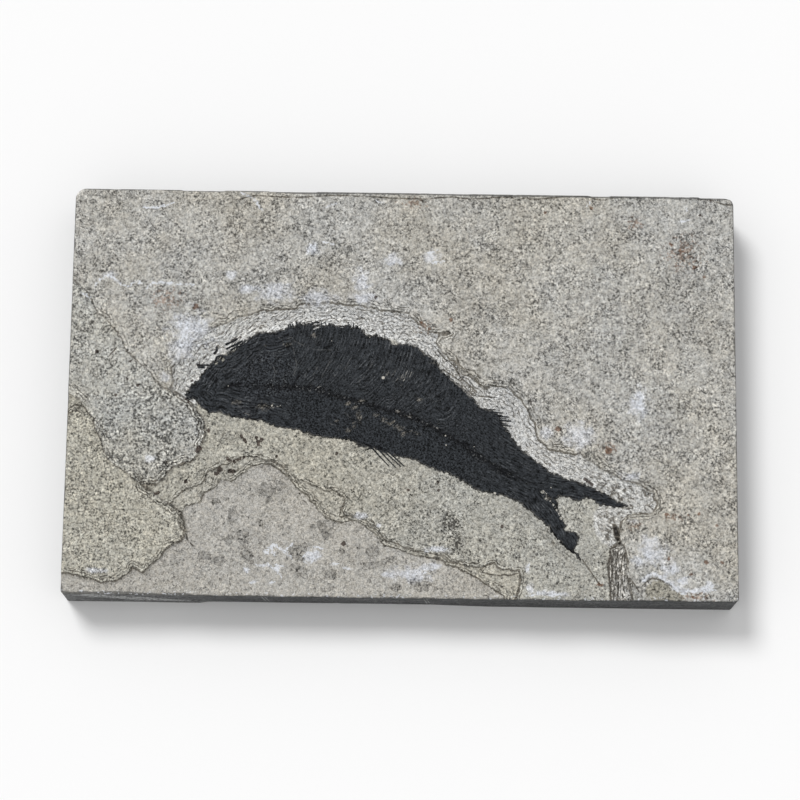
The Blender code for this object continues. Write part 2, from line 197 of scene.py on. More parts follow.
# %% Rim of the scraped slope
HALO_RIM = [
    (-65.3, -0.5), (-65.3, 2.4), (-66.1, 5.7), (-64.6, 8.1), (-61.9, 9.2), (-60.6, 12.6),
    (-57.4, 16.3), (-52.9, 18.6), (-47.4, 21), (-41.2, 23.1), (-36.5, 23.9), (-31, 24.1),
    (-29.5, 25.5), (-21.9, 25.9), (-13.9, 25.2), (-3.2, 23.8), (1.9, 23), (4, 20.6),
    (7.1, 18.1), (9.4, 17.4), (13.6, 17.5), (10.2, 16.3), (9.5, 14.5), (11.9, 11.4),
    (16, 8.1), (16.8, 6.1), (19.4, 4.8), (21.5, 2.9), (23, 1.2), (23.8, 1), (24.7, 2.4),
    (28.1, 2.1), (30.4, 1.7), (31.2, 0.4), (33.7, -1.6), (34.5, -3.3), (35.8, -4.9),
    (37, -7.5), (38.2, -10), (38.4, -11.7), (39.1, -13.7), (41.1, -14.9), (42.1, -16.3),
    (47, -17.1), (50.6, -17.3), (56.5, -21.3), (62, -24.1), (66.9, -25.8), (70.9, -28),
    (72.3, -31.3), (71.3, -34), (66.9, -34.5), (64.2, -34.7), (62.4, -36.5)]
print("rim points", len(HALO_RIM))

# %% [markdown]
# ## The fish's outline
# From the snout along the back, round the forked tail and home along the belly. The thin
# rays of the fins are separate spines, made further on.

# %% Outline of the fish
FISH_BACK = [
    (-61.7, -1.5), (-60.4, 1.1), (-57.9, 3.7), (-56.4, 6), (-53.6, 8.3), (-51.6, 9.7),
    (-49.3, 10.8), (-47, 12.6), (-45.9, 14), (-43.1, 15.8), (-40, 17), (-36, 17.5),
    (-33.4, 18.6), (-30.9, 19.4), (-27.2, 19.9), (-24, 19.3), (-20.9, 19.6), (-16.8, 19.3),
    (-13.7, 19.2), (-12, 18.3), (-10, 16.7), (-7, 16.1), (-4.5, 15.9), (-3.4, 14.5),
    (0.9, 14.1), (3.8, 13.2), (6.4, 11.4), (9.2, 9.8), (10.2, 8.1), (11.8, 6.1), (14.7, 3.5),
    (17.4, 1.4), (19.3, -0.9), (22.3, -3.8), (24, -4.4), (26, -5), (27.6, -6.8), (28.6, -8.8),
    (29.5, -10.3), (30.4, -11), (31.9, -13.3), (33.6, -15.6), (35.4, -17.4), (38, -19.4),
    (41.8, -22.2), (45.8, -23.8), (50.6, -25.3), (55.5, -27.2), (58.7, -29.2), (61.3, -30.7),
    (63.8, -32)]
FISH_FORK = [
    (62, -32.6), (58.2, -32.2), (55.5, -31.5), (53.5, -30.1), (51.8, -30.2), (49.4, -30.7),
    (47.2, -29.5), (44.8, -29.7), (43.8, -30.4), (44.2, -33), (46.6, -37.8), (46.2, -38.8),
    (48, -39.5), (49.7, -39.5), (50.2, -41.2), (49.4, -43.5), (48.7, -44.4), (50.7, -46.3),
    (51.2, -48)]
FISH_BELLY = [
    (49.4, -46.4), (47, -44.7), (44.2, -41.9), (41.9, -38.6), (38.3, -35.4), (35.5, -33.4),
    (33.4, -31.9), (31.2, -30.6), (28, -29.3), (25.1, -28.7), (21.8, -27.9), (18.4, -26.3),
    (15.1, -24.2), (10.4, -22.8), (5.9, -20.6), (2, -19.2), (-1.2, -18.5), (-3.9, -17.4),
    (-8.1, -16.8), (-12, -15.3), (-14.9, -14.2), (-22.1, -13.2), (-29, -11.7), (-33.1, -11),
    (-36.8, -10), (-39.5, -9.1), (-43.9, -8.5), (-47.6, -7.9), (-51.7, -6.6), (-54.3, -6.6),
    (-57.7, -4.7), (-59.6, -2.8)]
TAIL_LOBES = [[(38, -26.6), (50, -28.2), (63.8, -32)], [(38, -26.6), (44.4, -34), (51.2, -48)]]
BACKBONE = [
    (-61.7, -1.5), (-48, 1), (-32.5, 1), (-25.4, 1), (-19.7, -1.3), (-8.5, -4), (2, -7),
    (9.5, -10.4), (16.9, -14.6), (22, -18.6), (29.1, -22.8), (38, -26.6), (44, -29.4)]
print("fish outline points", len(FISH_BACK + FISH_FORK + FISH_BELLY))

# %% [markdown]
# ## Working with outlines
# Two tools are needed: one that roughens an outline the way stone breaks, and one that
# measures how far every point of a surface lies from it. Distances are positive inside.

# %% Outline tools
REACH = 14.0             # distances are not followed further than this


def roughened(line, pitch, swing, seed, closed=True, ragged=0.45):
    """The outline cut into short runs and pushed about by noise of three sizes."""
    ends = line + line[:1] if closed else line
    fine = []
    for (x0, y0), (x1, y1) in zip(ends, ends[1:]):
        count = max(1, round(math.hypot(x1 - x0, y1 - y0) / pitch))
        fine += [(x0 + (x1 - x0) * i / count, y0 + (y1 - y0) * i / count) for i in range(count)]
    if not closed:
        fine.append(line[-1])
    moved = []
    for x, y in fine:
        slow = noise.noise_vector(Vector((x * 0.35, y * 0.35, seed)))
        quick = noise.noise_vector(Vector((x * 1.1, y * 1.1, seed + 7.3)))
        tiny = noise.noise_vector(Vector((x * 2.6, y * 2.6, seed + 3.7)))
        push = slow + 0.7 * quick + ragged * tiny
        moved.append((x + swing * push.x, y + swing * push.y))
    return np.array(moved, dtype=np.float32)


def nearest_on(points, line, closed=True, reach=REACH):
    """Distance to a line (at most reach), its nearest point and the side, for every point."""
    best = np.full(len(points), reach * reach, dtype=np.float32)
    spot = points.copy()
    side = np.ones(len(points), dtype=np.float32)
    ends = np.vstack([line, line[:1]]) if closed else line
    order = np.argsort(points[:, 0], kind="stable")
    sorted_x = points[order, 0]
    for start, end in zip(ends[:-1], ends[1:]):
        run = end - start
        length = float(run @ run)
        if length < 1e-9:
            continue
        first = np.searchsorted(sorted_x, min(start[0], end[0]) - reach)
        last = np.searchsorted(sorted_x, max(start[0], end[0]) + reach)
        close = order[first:last]
        away = points[close] - start
        share = np.clip((away @ run) / length, 0, 1)
        near = start + share[:, None] * run
        gap = ((points[close] - near) ** 2).sum(axis=1)
        closer = gap < best[close]
        found = close[closer]
        best[found] = gap[closer]
        spot[found] = near[closer]
        turn = run[0] * away[closer, 1] - run[1] * away[closer, 0]
        side[found] = np.where(turn < 0, -1.0, 1.0)
    return np.sqrt(best), spot, side


def inside(points, outline):
    """True for the points that lie inside a closed outline."""
    x, y = points[:, 0], points[:, 1]
    odd = np.zeros(len(points), dtype=bool)
    for (x0, y0), (x1, y1) in zip(outline, np.roll(outline, -1, axis=0)):
        if y0 == y1:
            continue
        crosses = (y0 > y) != (y1 > y)
        odd ^= crosses & (x < (x1 - x0) * (y - y0) / (y1 - y0) + x0)
    return odd


def depth_inside(points, outline):
    """Signed distance to a closed outline, positive inside, and the nearest points on it."""
    gap, spot, _ = nearest_on(points, outline)
    return np.where(inside(points, outline), gap, -gap), spot


def height_on(line, x):
    """Where a line that runs from left to right lies at x."""
    return np.interp(x, [spot[0] for spot in line], [spot[1] for spot in line])


def ramp(value, start, end):
    """A smooth step from 0 at start to 1 at end."""
    share = np.clip((value - start) / (end - start), 0, 1)
    return share * share * (3 - 2 * share)


def rolling(points, size, seed, octaves=3):
    """Smooth noise over the plan, about -1 to 1, with bumps of the given size."""
    grain = [noise.fractal(Vector((x / size, y / size, seed)), 1.0, 2.0, octaves)
             for x, y in points.tolist()]
    return np.array(grain, dtype=np.float32)


print("outline tools ready")

# %% [markdown]
# Now the regions. Each is a bed's field: everything inside it was lowered to that bed. Later
# fields cut into earlier ones, as they did when the stone was split.

# %% Fields of the beds
LEDGE_PITCH = 0.7
LEDGE_SWING = 0.45
FIELD_SEEDS = {"left": 0.0, "strip": 3.1, "corner": 6.2, "basin": 9.3, "step": 12.4,
               "panel": 15.5, "groove": 18.6}

FIELD_LINES = {
    "left": [(BEYOND_LEFT, 34)] + LEFT_LEDGE
        + [(-61.7, -2.4), (-55, -9), (-55, -BEYOND), (BEYOND_LEFT, -BEYOND)],
    "strip": STRIP_LEDGE + [(65.5, -BEYOND), (57, -BEYOND), (57, -44), (60.4, -43)],
    "corner": [(BEYOND_LEFT, -0.5)] + CORNER_LEDGE
        + [(-61.8, -35.4), (-59, -37), (-58.6, -BEYOND), (BEYOND_LEFT, -BEYOND)],
    "basin": HALO_RIM + STRIP_FOOT[1:]
        + [(59.6, -BEYOND), (-59, -BEYOND), (-59.6, -41), (-61.4, -35.6), (-66, -33),
           (-70.6, -29.8)] + SNOUT_LEDGE,
    "step": STEP_LEDGE + [(33, -BEYOND), (-59.5, -BEYOND), (-59.8, -38), (-61.9, -35.5)],
    "panel": PANEL_LEDGE + [(30.6, -BEYOND), (BEYOND_LEFT, -BEYOND), (BEYOND_LEFT, -52.6)]
        + PANEL_CORNER_LEDGE,
    "groove": GROOVE,
}
FIELDS = {name: roughened(line, LEDGE_PITCH, LEDGE_SWING, FIELD_SEEDS[name])
          for name, line in FIELD_LINES.items()}
HALO_EDGE = roughened(HALO_RIM, LEDGE_PITCH, LEDGE_SWING, FIELD_SEEDS["basin"], closed=False)
FISH_SMOOTH = np.array(FISH_BACK + FISH_FORK + FISH_BELLY, dtype=np.float32)
FISH_OUTLINE = roughened(FISH_BACK + FISH_FORK + FISH_BELLY, 0.3, 0.42, 40.0, ragged=1.5)
print({name: len(outline) for name, outline in FIELDS.items()}, "fish", len(FISH_OUTLINE))

# %% [markdown]
# ## The marks on the stone
# Old stone carries its own marks: mineral crusts, rust, black dendrites, white crackle and
# fine cracks. Soft patches are ellipses (x, y, half length, half width), dots are
# (x, y, radius) and strokes are short polylines, all in millimetres. The finishes break
# their edges up with noise.

# %% Where the marks are
CRUSTS = [
    (-60.6, 17.6, 7.4, 5.6), (-62.8, 12.3, 4.2, 4.8), (-37, 28.8, 5.6, 3.4), (-24.4, 27.3, 5.2, 2.8),
    (-12.2, 32.6, 2.4, 3.8), (-11.3, 27.4, 4.2, 2.2), (-44.8, 29.8, 2.8, 1.5), (-49.6, 33.6, 1.5, 1.5), (-26.1, 41.6, 2.3, 1.9), (-3.3, 38.9, 2.7, 1.9), (7.9, 40.1, 3, 1.9),
    (40.8, -11.1, 2.2, 2.1), (50.4, -12.1, 4.6, 4.2), (67.4, -2.2, 3.1, 4.4), (64.5, -23.7, 3.1, 1.6),
    (70.1, -42.3, 3.9, 1.9), (66.8, -48.2, 1.8, 1.4), (-11.4, -35.9, 3, 1), (10.5, -45.2, 3.4, 1),
    (3.3, -52.2, 6.6, 2.2), (-25.2, -47.6, 1.9, 1.7), (-67.5, 3.2, 1.9, 1.6), (-43, -51.7, 0.8, 0.9),
    (-41.1, -55, 1, 0.6), (-6.2, -38.4, 0.8, 0.7), (-84.5, 33.2, 2, 1.4), (-71, -20.5, 2, 1.1),
    (71.4, -45.2, 4.8, 4.2), (75.8, -50, 3.4, 2.2), (67, -47.8, 1.8, 1.6), (-85.6, -52.4, 3.4, 0.9),
    (68.4, -53.2, 0.9, 1.2), (69.6, -51.9, 1.2, 1), (71.6, -51.4, 1.6, 0.9), (73.9, -52.4, 1.6, 1),
    (75.8, -53.8, 1.5, 1.1), (77.6, -55.4, 1.6, 1.4), (79.4, -56.4, 1.6, 1.3), (82.2, -56, 2, 0.9),
    (85, -55.6, 1.6, 1), (86.8, -54.6, 1.4, 1.2), (79.4, -53.6, 2.6, 1.4), (9.6, -45.1, 2.4, 0.8),
    (-24.6, -47.2, 2.4, 2.4), (-2.6, -52.4, 2.6, 0.9), (0.6, -52, 2.8, 1.2), (3.8, -51.4, 2.8, 1.2), (7, -50.4, 2.8, 1.2), (10, -49.6, 2.2, 0.9),
    (35.8, -50.4, 0.8, 1.4), (65.6, -36.6, 1.6, 1),
    (42, -57.3, 6, 0.9), (36.5, -55.8, 1.4, 2), (-34.5, -51, 1.4, 0.8), (-38.2, -50.2, 1.6, 0.6)]
HOLLOWS = [
    (-37.4, -28.6, 2.6, 2.2), (-33.9, -27.2, 1.7, 1.4), (-37, -31, 1, 1.2), (-21, -39.4, 3.1, 2.5),
    (-29.1, -46.5, 2.7, 2), (-27.4, -51.8, 1.5, 1.9), (-29.7, -50.7, 1.6, 0.8), (-42.4, -47.4, 2.2, 1.8),
    (-19.6, -52.7, 2.1, 1.6), (-55, -47.8, 2.2, 1.3), (-51.2, -49, 2.6, 1.3),
    (-47.5, -36.3, 1.2, 2.6), (-48.2, -43.4, 1.1, 1.6), (-44.6, -41.4, 1.9, 1.4),
    (-43.7, -44, 0.9, 1.4), (-39.6, -37.9, 1.2, 1.1), (-52.7, -32.4, 1.1, 1),
    (-50, -23.2, 3.1, 1.1), (-7.9, -46, 1.8, 1.6), (-6.6, -49.4, 2.6, 0.9),
    (-9.4, -50.2, 1.6, 1.1), (-3, -48, 1.7, 0.8), (-0.7, -56, 1.6, 1), (6.1, -54.9, 3.2, 1.6),
    (10.4, -56.2, 1.1, 0.8), (-16.2, -46, 0.9, 0.7)]
BROWNS = [(80.4, 41.5, 6.6, 6.6), (6, 19.3, 3, 2.2), (83.4, -57.6, 5.8, 2.2), (-68, 26.5, 6, 4),
          (3, 56, 5, 2), (58.6, -15.6, 3, 2.4), (66, 51, 3, 3),
          (66.4, -37.6, 3.4, 1.8), (77.4, -35, 4.4, 1.4)]
SOOTY = [(14.6, -37.9, 2.6, 3.2), (16, -43.2, 1.9, 2.6), (-66.6, -21.6, 1, 1.4), (12.6, -36.4, 1.6, 2)]
RUST_DOTS = [
    (-59.5, 24.2, 0.85), (53.9, 55.2, 0.5), (40.6, 53.6, 0.5), (13.7, 21.3, 0.5), (58.6, -16.3, 1.05),
    (44.3, -10.4, 0.8), (74.8, -34.4, 0.6), (85.9, -48, 0.5), (55.8, -54.3, 0.45), (56.6, -54.6, 0.35), (5.1, 20.3, 0.5), (7.4, 18.6, 0.5),
    (76.5, 44.8, 0.5), (79.8, 42.6, 0.6), (83.6, 37.8, 0.5), (86.2, 34.9, 0.4),
    (80.9, -34.4, 0.35), (84, -34.1, 0.4), (89, -37.2, 0.35), (81.6, -51.3, 0.4), (75.5, -47, 0.4),
    (90.4, -47.9, 0.35), (82.2, -57.7, 0.4)]
SOOT_DOTS = [
    (-40.8, -14.9, 0.4), (-41.1, -13.7, 0.35), (-40.5, -15.7, 0.3), (-39.6, -14.2, 0.3),
    (-47.3, -20.6, 0.4), (-49.2, -19.9, 0.4), (-48.6, -20.5, 0.35), (-46.2, -20.2, 0.3),
    (-44.7, -19.4, 0.3), (85.4, 53.5, 0.35), (88.4, 58.1, 0.3),
    (-7.9, 27.8, 0.4), (-16, -43.8, 0.55), (2.1, -28.1, 0.35), (10.4, -25.9, 0.35), (10.6, -28.2, 0.35),
    (28.6, -38.3, 0.4), (-44.6, -14.4, 0.45), (-45.4, -13.4, 0.4), (-44.2, -14.9, 0.4),
    (-54.9, -11.8, 0.45), (-57.3, -17.1, 0.75), (-57.9, -18.1, 0.4), (-60.9, -26.6, 0.5),
    (-35.3, -19.1, 0.25), (-18.3, -18, 0.3), (-52.3, -24.3, 0.55), (-51.2, -22.9, 0.6),
    (-48.3, -23.3, 0.6), (-47.5, -23.4, 0.5), (-51.6, -23.6, 0.4), (-69.2, -30.4, 0.4),
    (-68.3, -29.9, 0.35), (52, -24.5, 0.45), (53, -25.2, 0.4), (53.9, -25.9, 0.35), (-87.2, 10.7, 0.45),
    (-78.3, 2.7, 0.35), (-77.6, 7.9, 0.3), (-81.4, -2, 0.35), (-75.2, 0.9, 0.35), (-53.6, 10.8, 0.4),
    (-53.2, 11.6, 0.3), (-53.1, 12.4, 0.25), (-49, 14.4, 0.25), (-47.7, 14.9, 0.3), (-46.4, 15.4, 0.25),
    (-60.7, -3.7, 0.3), (-61.4, -2.9, 0.25), (-58.2, 7.1, 0.4), (-57.3, 6.9, 0.35), (-59.9, 2.6, 0.3)]
OLIVES = [(72.4, -56.4, 3.8, 3.4), (75.8, -58, 4, 2.4)]
CHALK = [
    [(-88.5, 29.8), (-87, 32), (-84.6, 33.2), (-82.4, 31.6), (-80.6, 30.3), (-78.8, 29.9), (-77.1, 31.4),
     (-75.4, 31)], [(-73.4, 29.6), (-72.2, 30.8), (-70.6, 31.2), (-65.6, 30.9), (-60.5, 30.6)],
    [(8.3, 38.3), (10.4, 38.3), (11.4, 38.7)], [(7.1, 41.2), (9.3, 41.7)], [(68.3, -53.4), (69.6, -51.6), (71.7, -51.3),
    (73.7, -52.8), (75.8, -54.1), (77.3, -55.9), (79.1, -57.2), (80.9, -55.9), (83.5, -56.6),
    (85.6, -55), (88.2, -55.8)], [(-47, 58.4), (-44.6, 57), (-42.9, 55.9), (-41.3, 53.4)],
    [(-75.2, 53.5), (-72, 53.4), (-66.8, 55.1)], [(-22.3, 54.5), (-19.9, 55.4)],
    [(-7.8, 56.4), (-5.7, 55.6)], [(53.4, 56.8), (52.8, 56.1)], [(81.6, 55.2), (81, 54.2)],
    [(81.8, 51.9), (79.5, 51.5)],
    [(-35.6, -44.2), (-33.8, -45.3), (-31.9, -46.9), (-30.5, -48.2)], [(-32.7, -46), (-30.4, -44.1)],
    [(-38.1, -46.3), (-37, -46.8)], [(-36.9, -49.9), (-35.8, -50.8), (-34.5, -51.5), (-33.4, -53.3)],
    [(-35.8, -50.8), (-34.4, -50), (-33.1, -50.4)], [(-40, -50.1), (-38.3, -50.3)],
    [(-26.9, -47.4), (-25.5, -46.3), (-24, -47.7), (-22.6, -47.5)], [(-26.8, -49.2), (-25.4, -50.1),
    (-24.3, -48.4)], [(-43.5, -51.4), (-43, -52)], [(-41.6, -55.2), (-40.4, -55)],
    [(-36.4, -55.3), (-35.5, -55)], [(-23.9, -44.8), (-22.1, -45.1)], [(-37, -45.2), (-35.9, -45),
    (-36.3, -46.4), (-35.2, -47.1)], [(7.4, -45.9), (8.9, -45.1), (10.8, -45.3), (13.5, -44.8)],
    [(35.7, -50.7), (36.2, -49.2)], [(7, -51.6), (10.4, -50.3)], [(-18.9, -49.6), (-17.6, -49.4)],
    [(-63.6, 14.3), (-61.9, 15.6), (-61.2, 13)], [(36, -57.8), (39.4, -57.2)], [(42, -57.6), (45, -57.3)],
    [(-92, 27.9), (-89.9, 26.6)], [(-23, 44), (-20.6, 43.3)], [(-15.6, -50.5), (-14, -50.9)]]
# Fine cracks, and painted shadow along the strip's ledges and close to the back edge, all drawn as dark strokes.
CRACKS_AND_LEDGE_SHADOWS = [
    [(51.4, -47.7), (53.4, -50.6), (56.1, -54.5)],
    [(-60.2, -41.9), (-59.8, -43.6), (-58.5, -44.7)], [(-83.5, 9.6), (-82.7, 10.5), (-81.8, 11.7)],
    [(-94.8, -6.3), (-93.6, -5.3), (-92.5, -4.9), (-91.4, -5.3)],
    [(-94.6, -7.6), (-93.2, -6.6), (-91.7, -6.8)], [(22.4, -51), (23.8, -49.5), (25.6, -49.1)],
    [(23.1, -51.4), (25.6, -52), (28.1, -52.4), (29.2, -52), (30.8, -52.3), (32.8, -51.6)],
    [(33.9, -52.5), (33.9, -54.5), (33.1, -56.6), (32.4, -58.8)],
    [(-47.8, 56.3), (-43, 57.6), (-38.1, 57.3), (-30, 57.2), (-21.9, 57.9), (-12.2, 57.8), (-2.5, 57.3),
     (5.6, 57.2), (10.2, 57.7), (13.7, 58), (16.1, 57.6), (21.4, 57.5), (27.2, 58), (30.8, 58.2),
     (32.2, 57.1), (33.7, 57.7), (35.5, 58.1), (36.2, 57.5), (39.6, 57.8), (45.5, 58.4), (51.3, 58.8),
     (53.7, 58.5), (55.7, 57.8), (57.9, 57.6), (58.7, 58.3), (67.8, 58.6)],
    [(83.7, 58.2), (87.2, 58.5), (89.3, 58.3), (91.9, 56.9), (94.2, 56.7)],
    [(68.5, -54.5), (69.6, -53.2), (70.9, -52.6), (72.9, -53.1), (75, -54.1), (76.6, -55.2),
     (77.6, -56.7), (78.9, -57.7)],
    [(11.7, 6.8), (13.9, 5.3), (16.5, 3.5), (18.3, 1.3), (20.2, -0.6), (22.7, -0.9), (25.7, -1.2)],
    [(10.2, 12.1), (12.1, 9.8), (14.6, 8), (16.5, 4.6), (19.1, 2.4), (21.3, 0.2)],
    [(15.3, 10.2), (16.3, 8), (18.3, 6.2), (20.1, 4.7), (22, 2.5), (23.8, 1.4), (24.5, 1.9)],
    [(-16.8, -33.9), (-15.5, -36), (-13.3, -37.6)], [(61.2, -45.3), (60.5, -50), (61.4, -55), (61, -58.6)],
    [(59.3, -44.3), (60.7, -43.7), (62.8, -43.3)], [(64.7, -52.9), (66.2, -55.1), (67.7, -57.7)],
    [(62.6, -46), (61.9, -51), (62.9, -56.4)], [(59.8, -46), (59.7, -52.4), (60.4, -58.4)],
    [(60.2, -43.2), (58.9, -45), (58.6, -51), (59.2, -58.6)], [(63, -43.6), (64, -48.4), (63.5, -51.4),
    (64.6, -55), (65.3, -58.6)]]
print(len(CRUSTS + HOLLOWS + BROWNS), "patches", len(RUST_DOTS + SOOT_DOTS), "dots")

# %% [markdown]
# ## The stone
# A fine grid is the natural start for a broken face: every vertex can take its own height.
# Where a vertex lies close to a ledge it is pulled onto it, so that the break stays crisp
# on a grid that is coarser than the break. Heights then follow the fields in order.

# %% Beds and sizes
FACE_COLUMNS = 356
FACE_ROWS = 221
EDGE_ROUND = 0.3
CORNER_RADII = {(-1, -1): 1.0, (1, -1): 1.0, (1, 1): 2.6, (-1, 1): 3.0}
SNAP = 0.3

LEFT_BED = 15.5
STRIP_BED = 15.4
CORNER_BED = 15.0
FISH_BED = 14.85
STEP_BED = 14.6
PANEL_BED = 14.3
HALO_LIP = 15.6
HALO_REACH = (5.0, 9.5)  # the scraped slope fades out at this distance from its rim
GROOVE_FLOOR = 14.45
RELIEF_ROOM = 0.14       # the top bed's unevenness stays under the block's full height
HOLLOW_DROP = 0.12

# Shells broken from the two long edges: middle, half length, reach inward, drop, side.
FLAKES = [
    (-58, 6.5, 1.9, 0.7, 1), (-32, 7, 1.3, 0.6, 1), (56, 3.4, 1.1, 0.7, 1), (89.5, 4.6, 2.2, 0.9, 1),
    (-66, 8, 0.9, 0.6, -1), (-4, 11, 0.8, 0.5, -1), (48, 6, 0.7, 0.5, -1), (12, 9, 0.5, 0.3, 1),
    (-84, 4, 0.5, 0.3, 1), (30, 5, 0.4, 0.3, 1), (78, 5, 0.5, 0.3, 1), (-40, 5, 0.4, 0.3, -1),
    (22, 4, 0.4, 0.3, -1), (80, 6, 0.5, 0.4, -1)]

# %% Heights of the split face


def round_corners(points, half_x, half_y):
    """Squeeze the grid's square corners onto the block's rounded ones."""
    out = points.copy()
    for (side_x, side_y), radius in CORNER_RADII.items():
        centre = np.array([side_x * (half_x - radius), side_y * (half_y - radius)])
        away = (points - centre) * (side_x, side_y)
        corner = (away[:, 0] > 0) & (away[:, 1] > 0)
        square = away[corner]
        scale = square.max(axis=1) / np.maximum(np.hypot(square[:, 0], square[:, 1]), 1e-9)
        out[corner] = centre + square * scale[:, None] * (side_x, side_y)
    return out


def snapped(points, border):
    """Pull near vertices onto the ledges. The block's own border stays where it is."""
    for outline in FIELDS.values():
        gap, spot, _ = nearest_on(points, outline)
        near = (gap < SNAP) & ~border
        points[near] = spot[near]
    return points


def lowered(height, level, depth, run):
    """Lower everything inside a field to its bed, over the run of its ledge."""
    share = ramp(depth, 0, run)
    return np.where(height > level, height + (level - height) * share, height)


def flaked(height, points):
    """Take the broken shells off the two long edges."""
    for middle, half, reach, drop, side in FLAKES:
        across = (points[:, 0] - middle) / half
        width = reach * np.sqrt(np.clip(1 - across * across, 0, 1)) + 0.01
        inward = HALF_WIDTH - side * points[:, 1] + 0.25 * rolling(points, 1.7, 31.0)
        share = np.where(np.abs(across) < 1, ramp(inward, width * 1.15, width * 0.2), 0)
        height = height - drop * share
    return height


def halo_slope(depth):
    """0 at the fish, 1 at the scraped slope's rim, and flat far away from the rim."""
    slope = np.clip(depth["fish_gap"] / (depth["fish_gap"] + depth["rim_gap"] + 0.01), 0, 1)
    return slope * ramp(depth["rim_gap"], HALO_REACH[1], HALO_REACH[0])


def face_heights(points, depth):
    """Height of the split face in millimetres at each plan point."""
    height = np.full(len(points), TOP - RELIEF_ROOM, dtype=np.float32)
    height = lowered(height, LEFT_BED, depth["left"], 0.35)
    height = lowered(height, STRIP_BED, depth["strip"], 0.3)
    height = lowered(height, CORNER_BED, depth["corner"], 0.35)
    basin = FISH_BED + (HALO_LIP - FISH_BED) * halo_slope(depth)
    height = np.where(depth["basin"] > 0, height + (np.minimum(basin, height) - height)
                      * ramp(depth["basin"], 0, 0.35), height)
    height = lowered(height, STEP_BED, depth["step"], 0.3)
    height = lowered(height, PANEL_BED, depth["panel"], 0.3)
    height = lowered(height, GROOVE_FLOOR, depth["groove"], 0.4)
    height = height - HOLLOW_DROP * ramp(depth["hollow"], 0.1, 0.35)
    rough = 0.05 * rolling(points, 9.0, 1.0) + 0.05 * rolling(points, 1.5, 5.0)
    quiet = 1 - 0.6 * ramp(depth["fish"], -1.0, 0.5)
    return np.minimum(flaked(height, points) + rough * quiet, TOP)


# %% Distances to everything that matters


def patch_field(points, patches):
    """1 in the middle of the nearest patch, 0 on its border and less beyond."""
    best = np.full(len(points), -2.0, dtype=np.float32)
    for x, y, half_x, half_y in patches:
        best = np.maximum(best, 1 - np.hypot((points[:, 0] - x) / half_x, (points[:, 1] - y) / half_y))
    return best


def dot_field(points, dots):
    """Way to the nearest dot's middle and its radius, and the distance inside its border.

    A way is told exactly even between vertices that are farther apart than the dot is wide.
    """
    best = np.full(len(points), -3.0, dtype=np.float32)
    ways = np.full((len(points), 3), 3.0, dtype=np.float32)
    for x, y, radius in dots:
        away = points - (x, y)
        within = radius - np.hypot(away[:, 0], away[:, 1])
        closer = within > best
        best[closer] = within[closer]
        ways[closer] = np.column_stack([away, np.full(len(points), radius)])[closer]
    return ways, best


def stroke_field(points, lines):
    """Signed distance to the nearest of several strokes, and the plain distance."""
    best = np.full(len(points), 9.0, dtype=np.float32)
    signed = best.copy()
    for line in lines:
        gap, _, side = nearest_on(points, np.array(line, dtype=np.float32), closed=False)
        closer = gap < best
        best[closer] = gap[closer]
        signed[closer] = (gap * side)[closer]
    return signed, best


def run_along(spots, outline):
    """How far along a closed outline its nearest points lie."""
    ends = np.vstack([outline, outline[:1]])
    lengths = np.hypot(*np.diff(ends, axis=0).T)
    starts = np.concatenate([[0], np.cumsum(lengths)[:-1]])
    away = np.full(len(spots), 1e9)
    along = np.zeros(len(spots))
    for start, end, base, length in zip(ends[:-1], ends[1:], starts, lengths):
        share = np.clip(((spots - start) @ (end - start)) / max(length * length, 1e-9), 0, 1)
        miss = ((spots - start - share[:, None] * (end - start)) ** 2).sum(axis=1)
        closer = miss < away
        away[closer] = miss[closer]
        along[closer] = (base + share * length)[closer]
    return along


def measure_fields(points):
    """Every distance that heights and finishes are worked out from."""
    depth = {name: depth_inside(points, outline)[0] for name, outline in FIELDS.items()}
    depth["fish"], spots = depth_inside(points, FISH_OUTLINE)
    depth["fish_gap"] = np.maximum(-depth["fish"], 0)
    depth["round"] = run_along(spots, FISH_SMOOTH)
    depth["rim_gap"] = nearest_on(points, HALO_EDGE, closed=False)[0]
    for name, patches in (("crust", CRUSTS), ("hollow", HOLLOWS), ("brown", BROWNS), ("sooty", SOOTY),
                          ("olive", OLIVES)):
        depth[name] = patch_field(points, patches)
    depth["rust"], depth["rust_near"] = dot_field(points, RUST_DOTS)
    depth["soot"], depth["soot_near"] = dot_field(points, SOOT_DOTS)
    depth["chalk"], depth["chalk_gap"] = stroke_field(points, CHALK)
    depth["crack_and_shadow"], depth["crack_and_shadow_gap"] = stroke_field(points, CRACKS_AND_LEDGE_SHADOWS)
    depth["edge"] = np.minimum(HALF_LENGTH - np.abs(points[:, 0]), HALF_WIDTH - np.abs(points[:, 1]))
    halo = ramp(depth["rim_gap"], HALO_REACH[1], HALO_REACH[0] + 1)
    beside_tail = ramp(points[:, 0], 22, 42) * ramp(depth["fish_gap"], 3.4, 1.4)
    beside_tail *= ramp(height_on(FISH_BELLY[::-1], points[:, 0]) - points[:, 1], -0.5, 0.5)
    depth["halo"] = np.where(depth["basin"] > 0, halo, 0.0) * ramp(-depth["step"], 0.0, 2.0)
    depth["terraced"] = np.where(depth["basin"] > 0, np.maximum(beside_tail, depth["halo"]), 0.0)
    return depth


# %% Build the stone
SIDE_RINGS = 11
UNDERSIDE_ROUND = 0.35
SPALL = (-57.0, 26.0, 0.75, 2.6)     # start, end, depth and height of the flake gone below
CARRIED = (*FIELDS, "fish", "round", "crust", "hollow", "brown", "sooty", "olive", "rust", "rust_near", "soot",
           "soot_near", "chalk", "chalk_gap", "crack_and_shadow", "crack_and_shadow_gap", "edge", "halo", "terraced")


def write_attribute(mesh, name, values):
    """Carry one number, or one way of three numbers, at every vertex."""
    flat = np.ascontiguousarray(values, dtype=np.float32).ravel()
    if len(flat) == len(values):
        mesh.attributes.new(name, "FLOAT", "POINT").data.foreach_set("value", flat)
    else:
        mesh.attributes.new(name, "FLOAT_VECTOR", "POINT").data.foreach_set("vector", flat)


def plan_of(verts):
    return np.array([vertex.co[:2] for vertex in verts], dtype=np.float32)


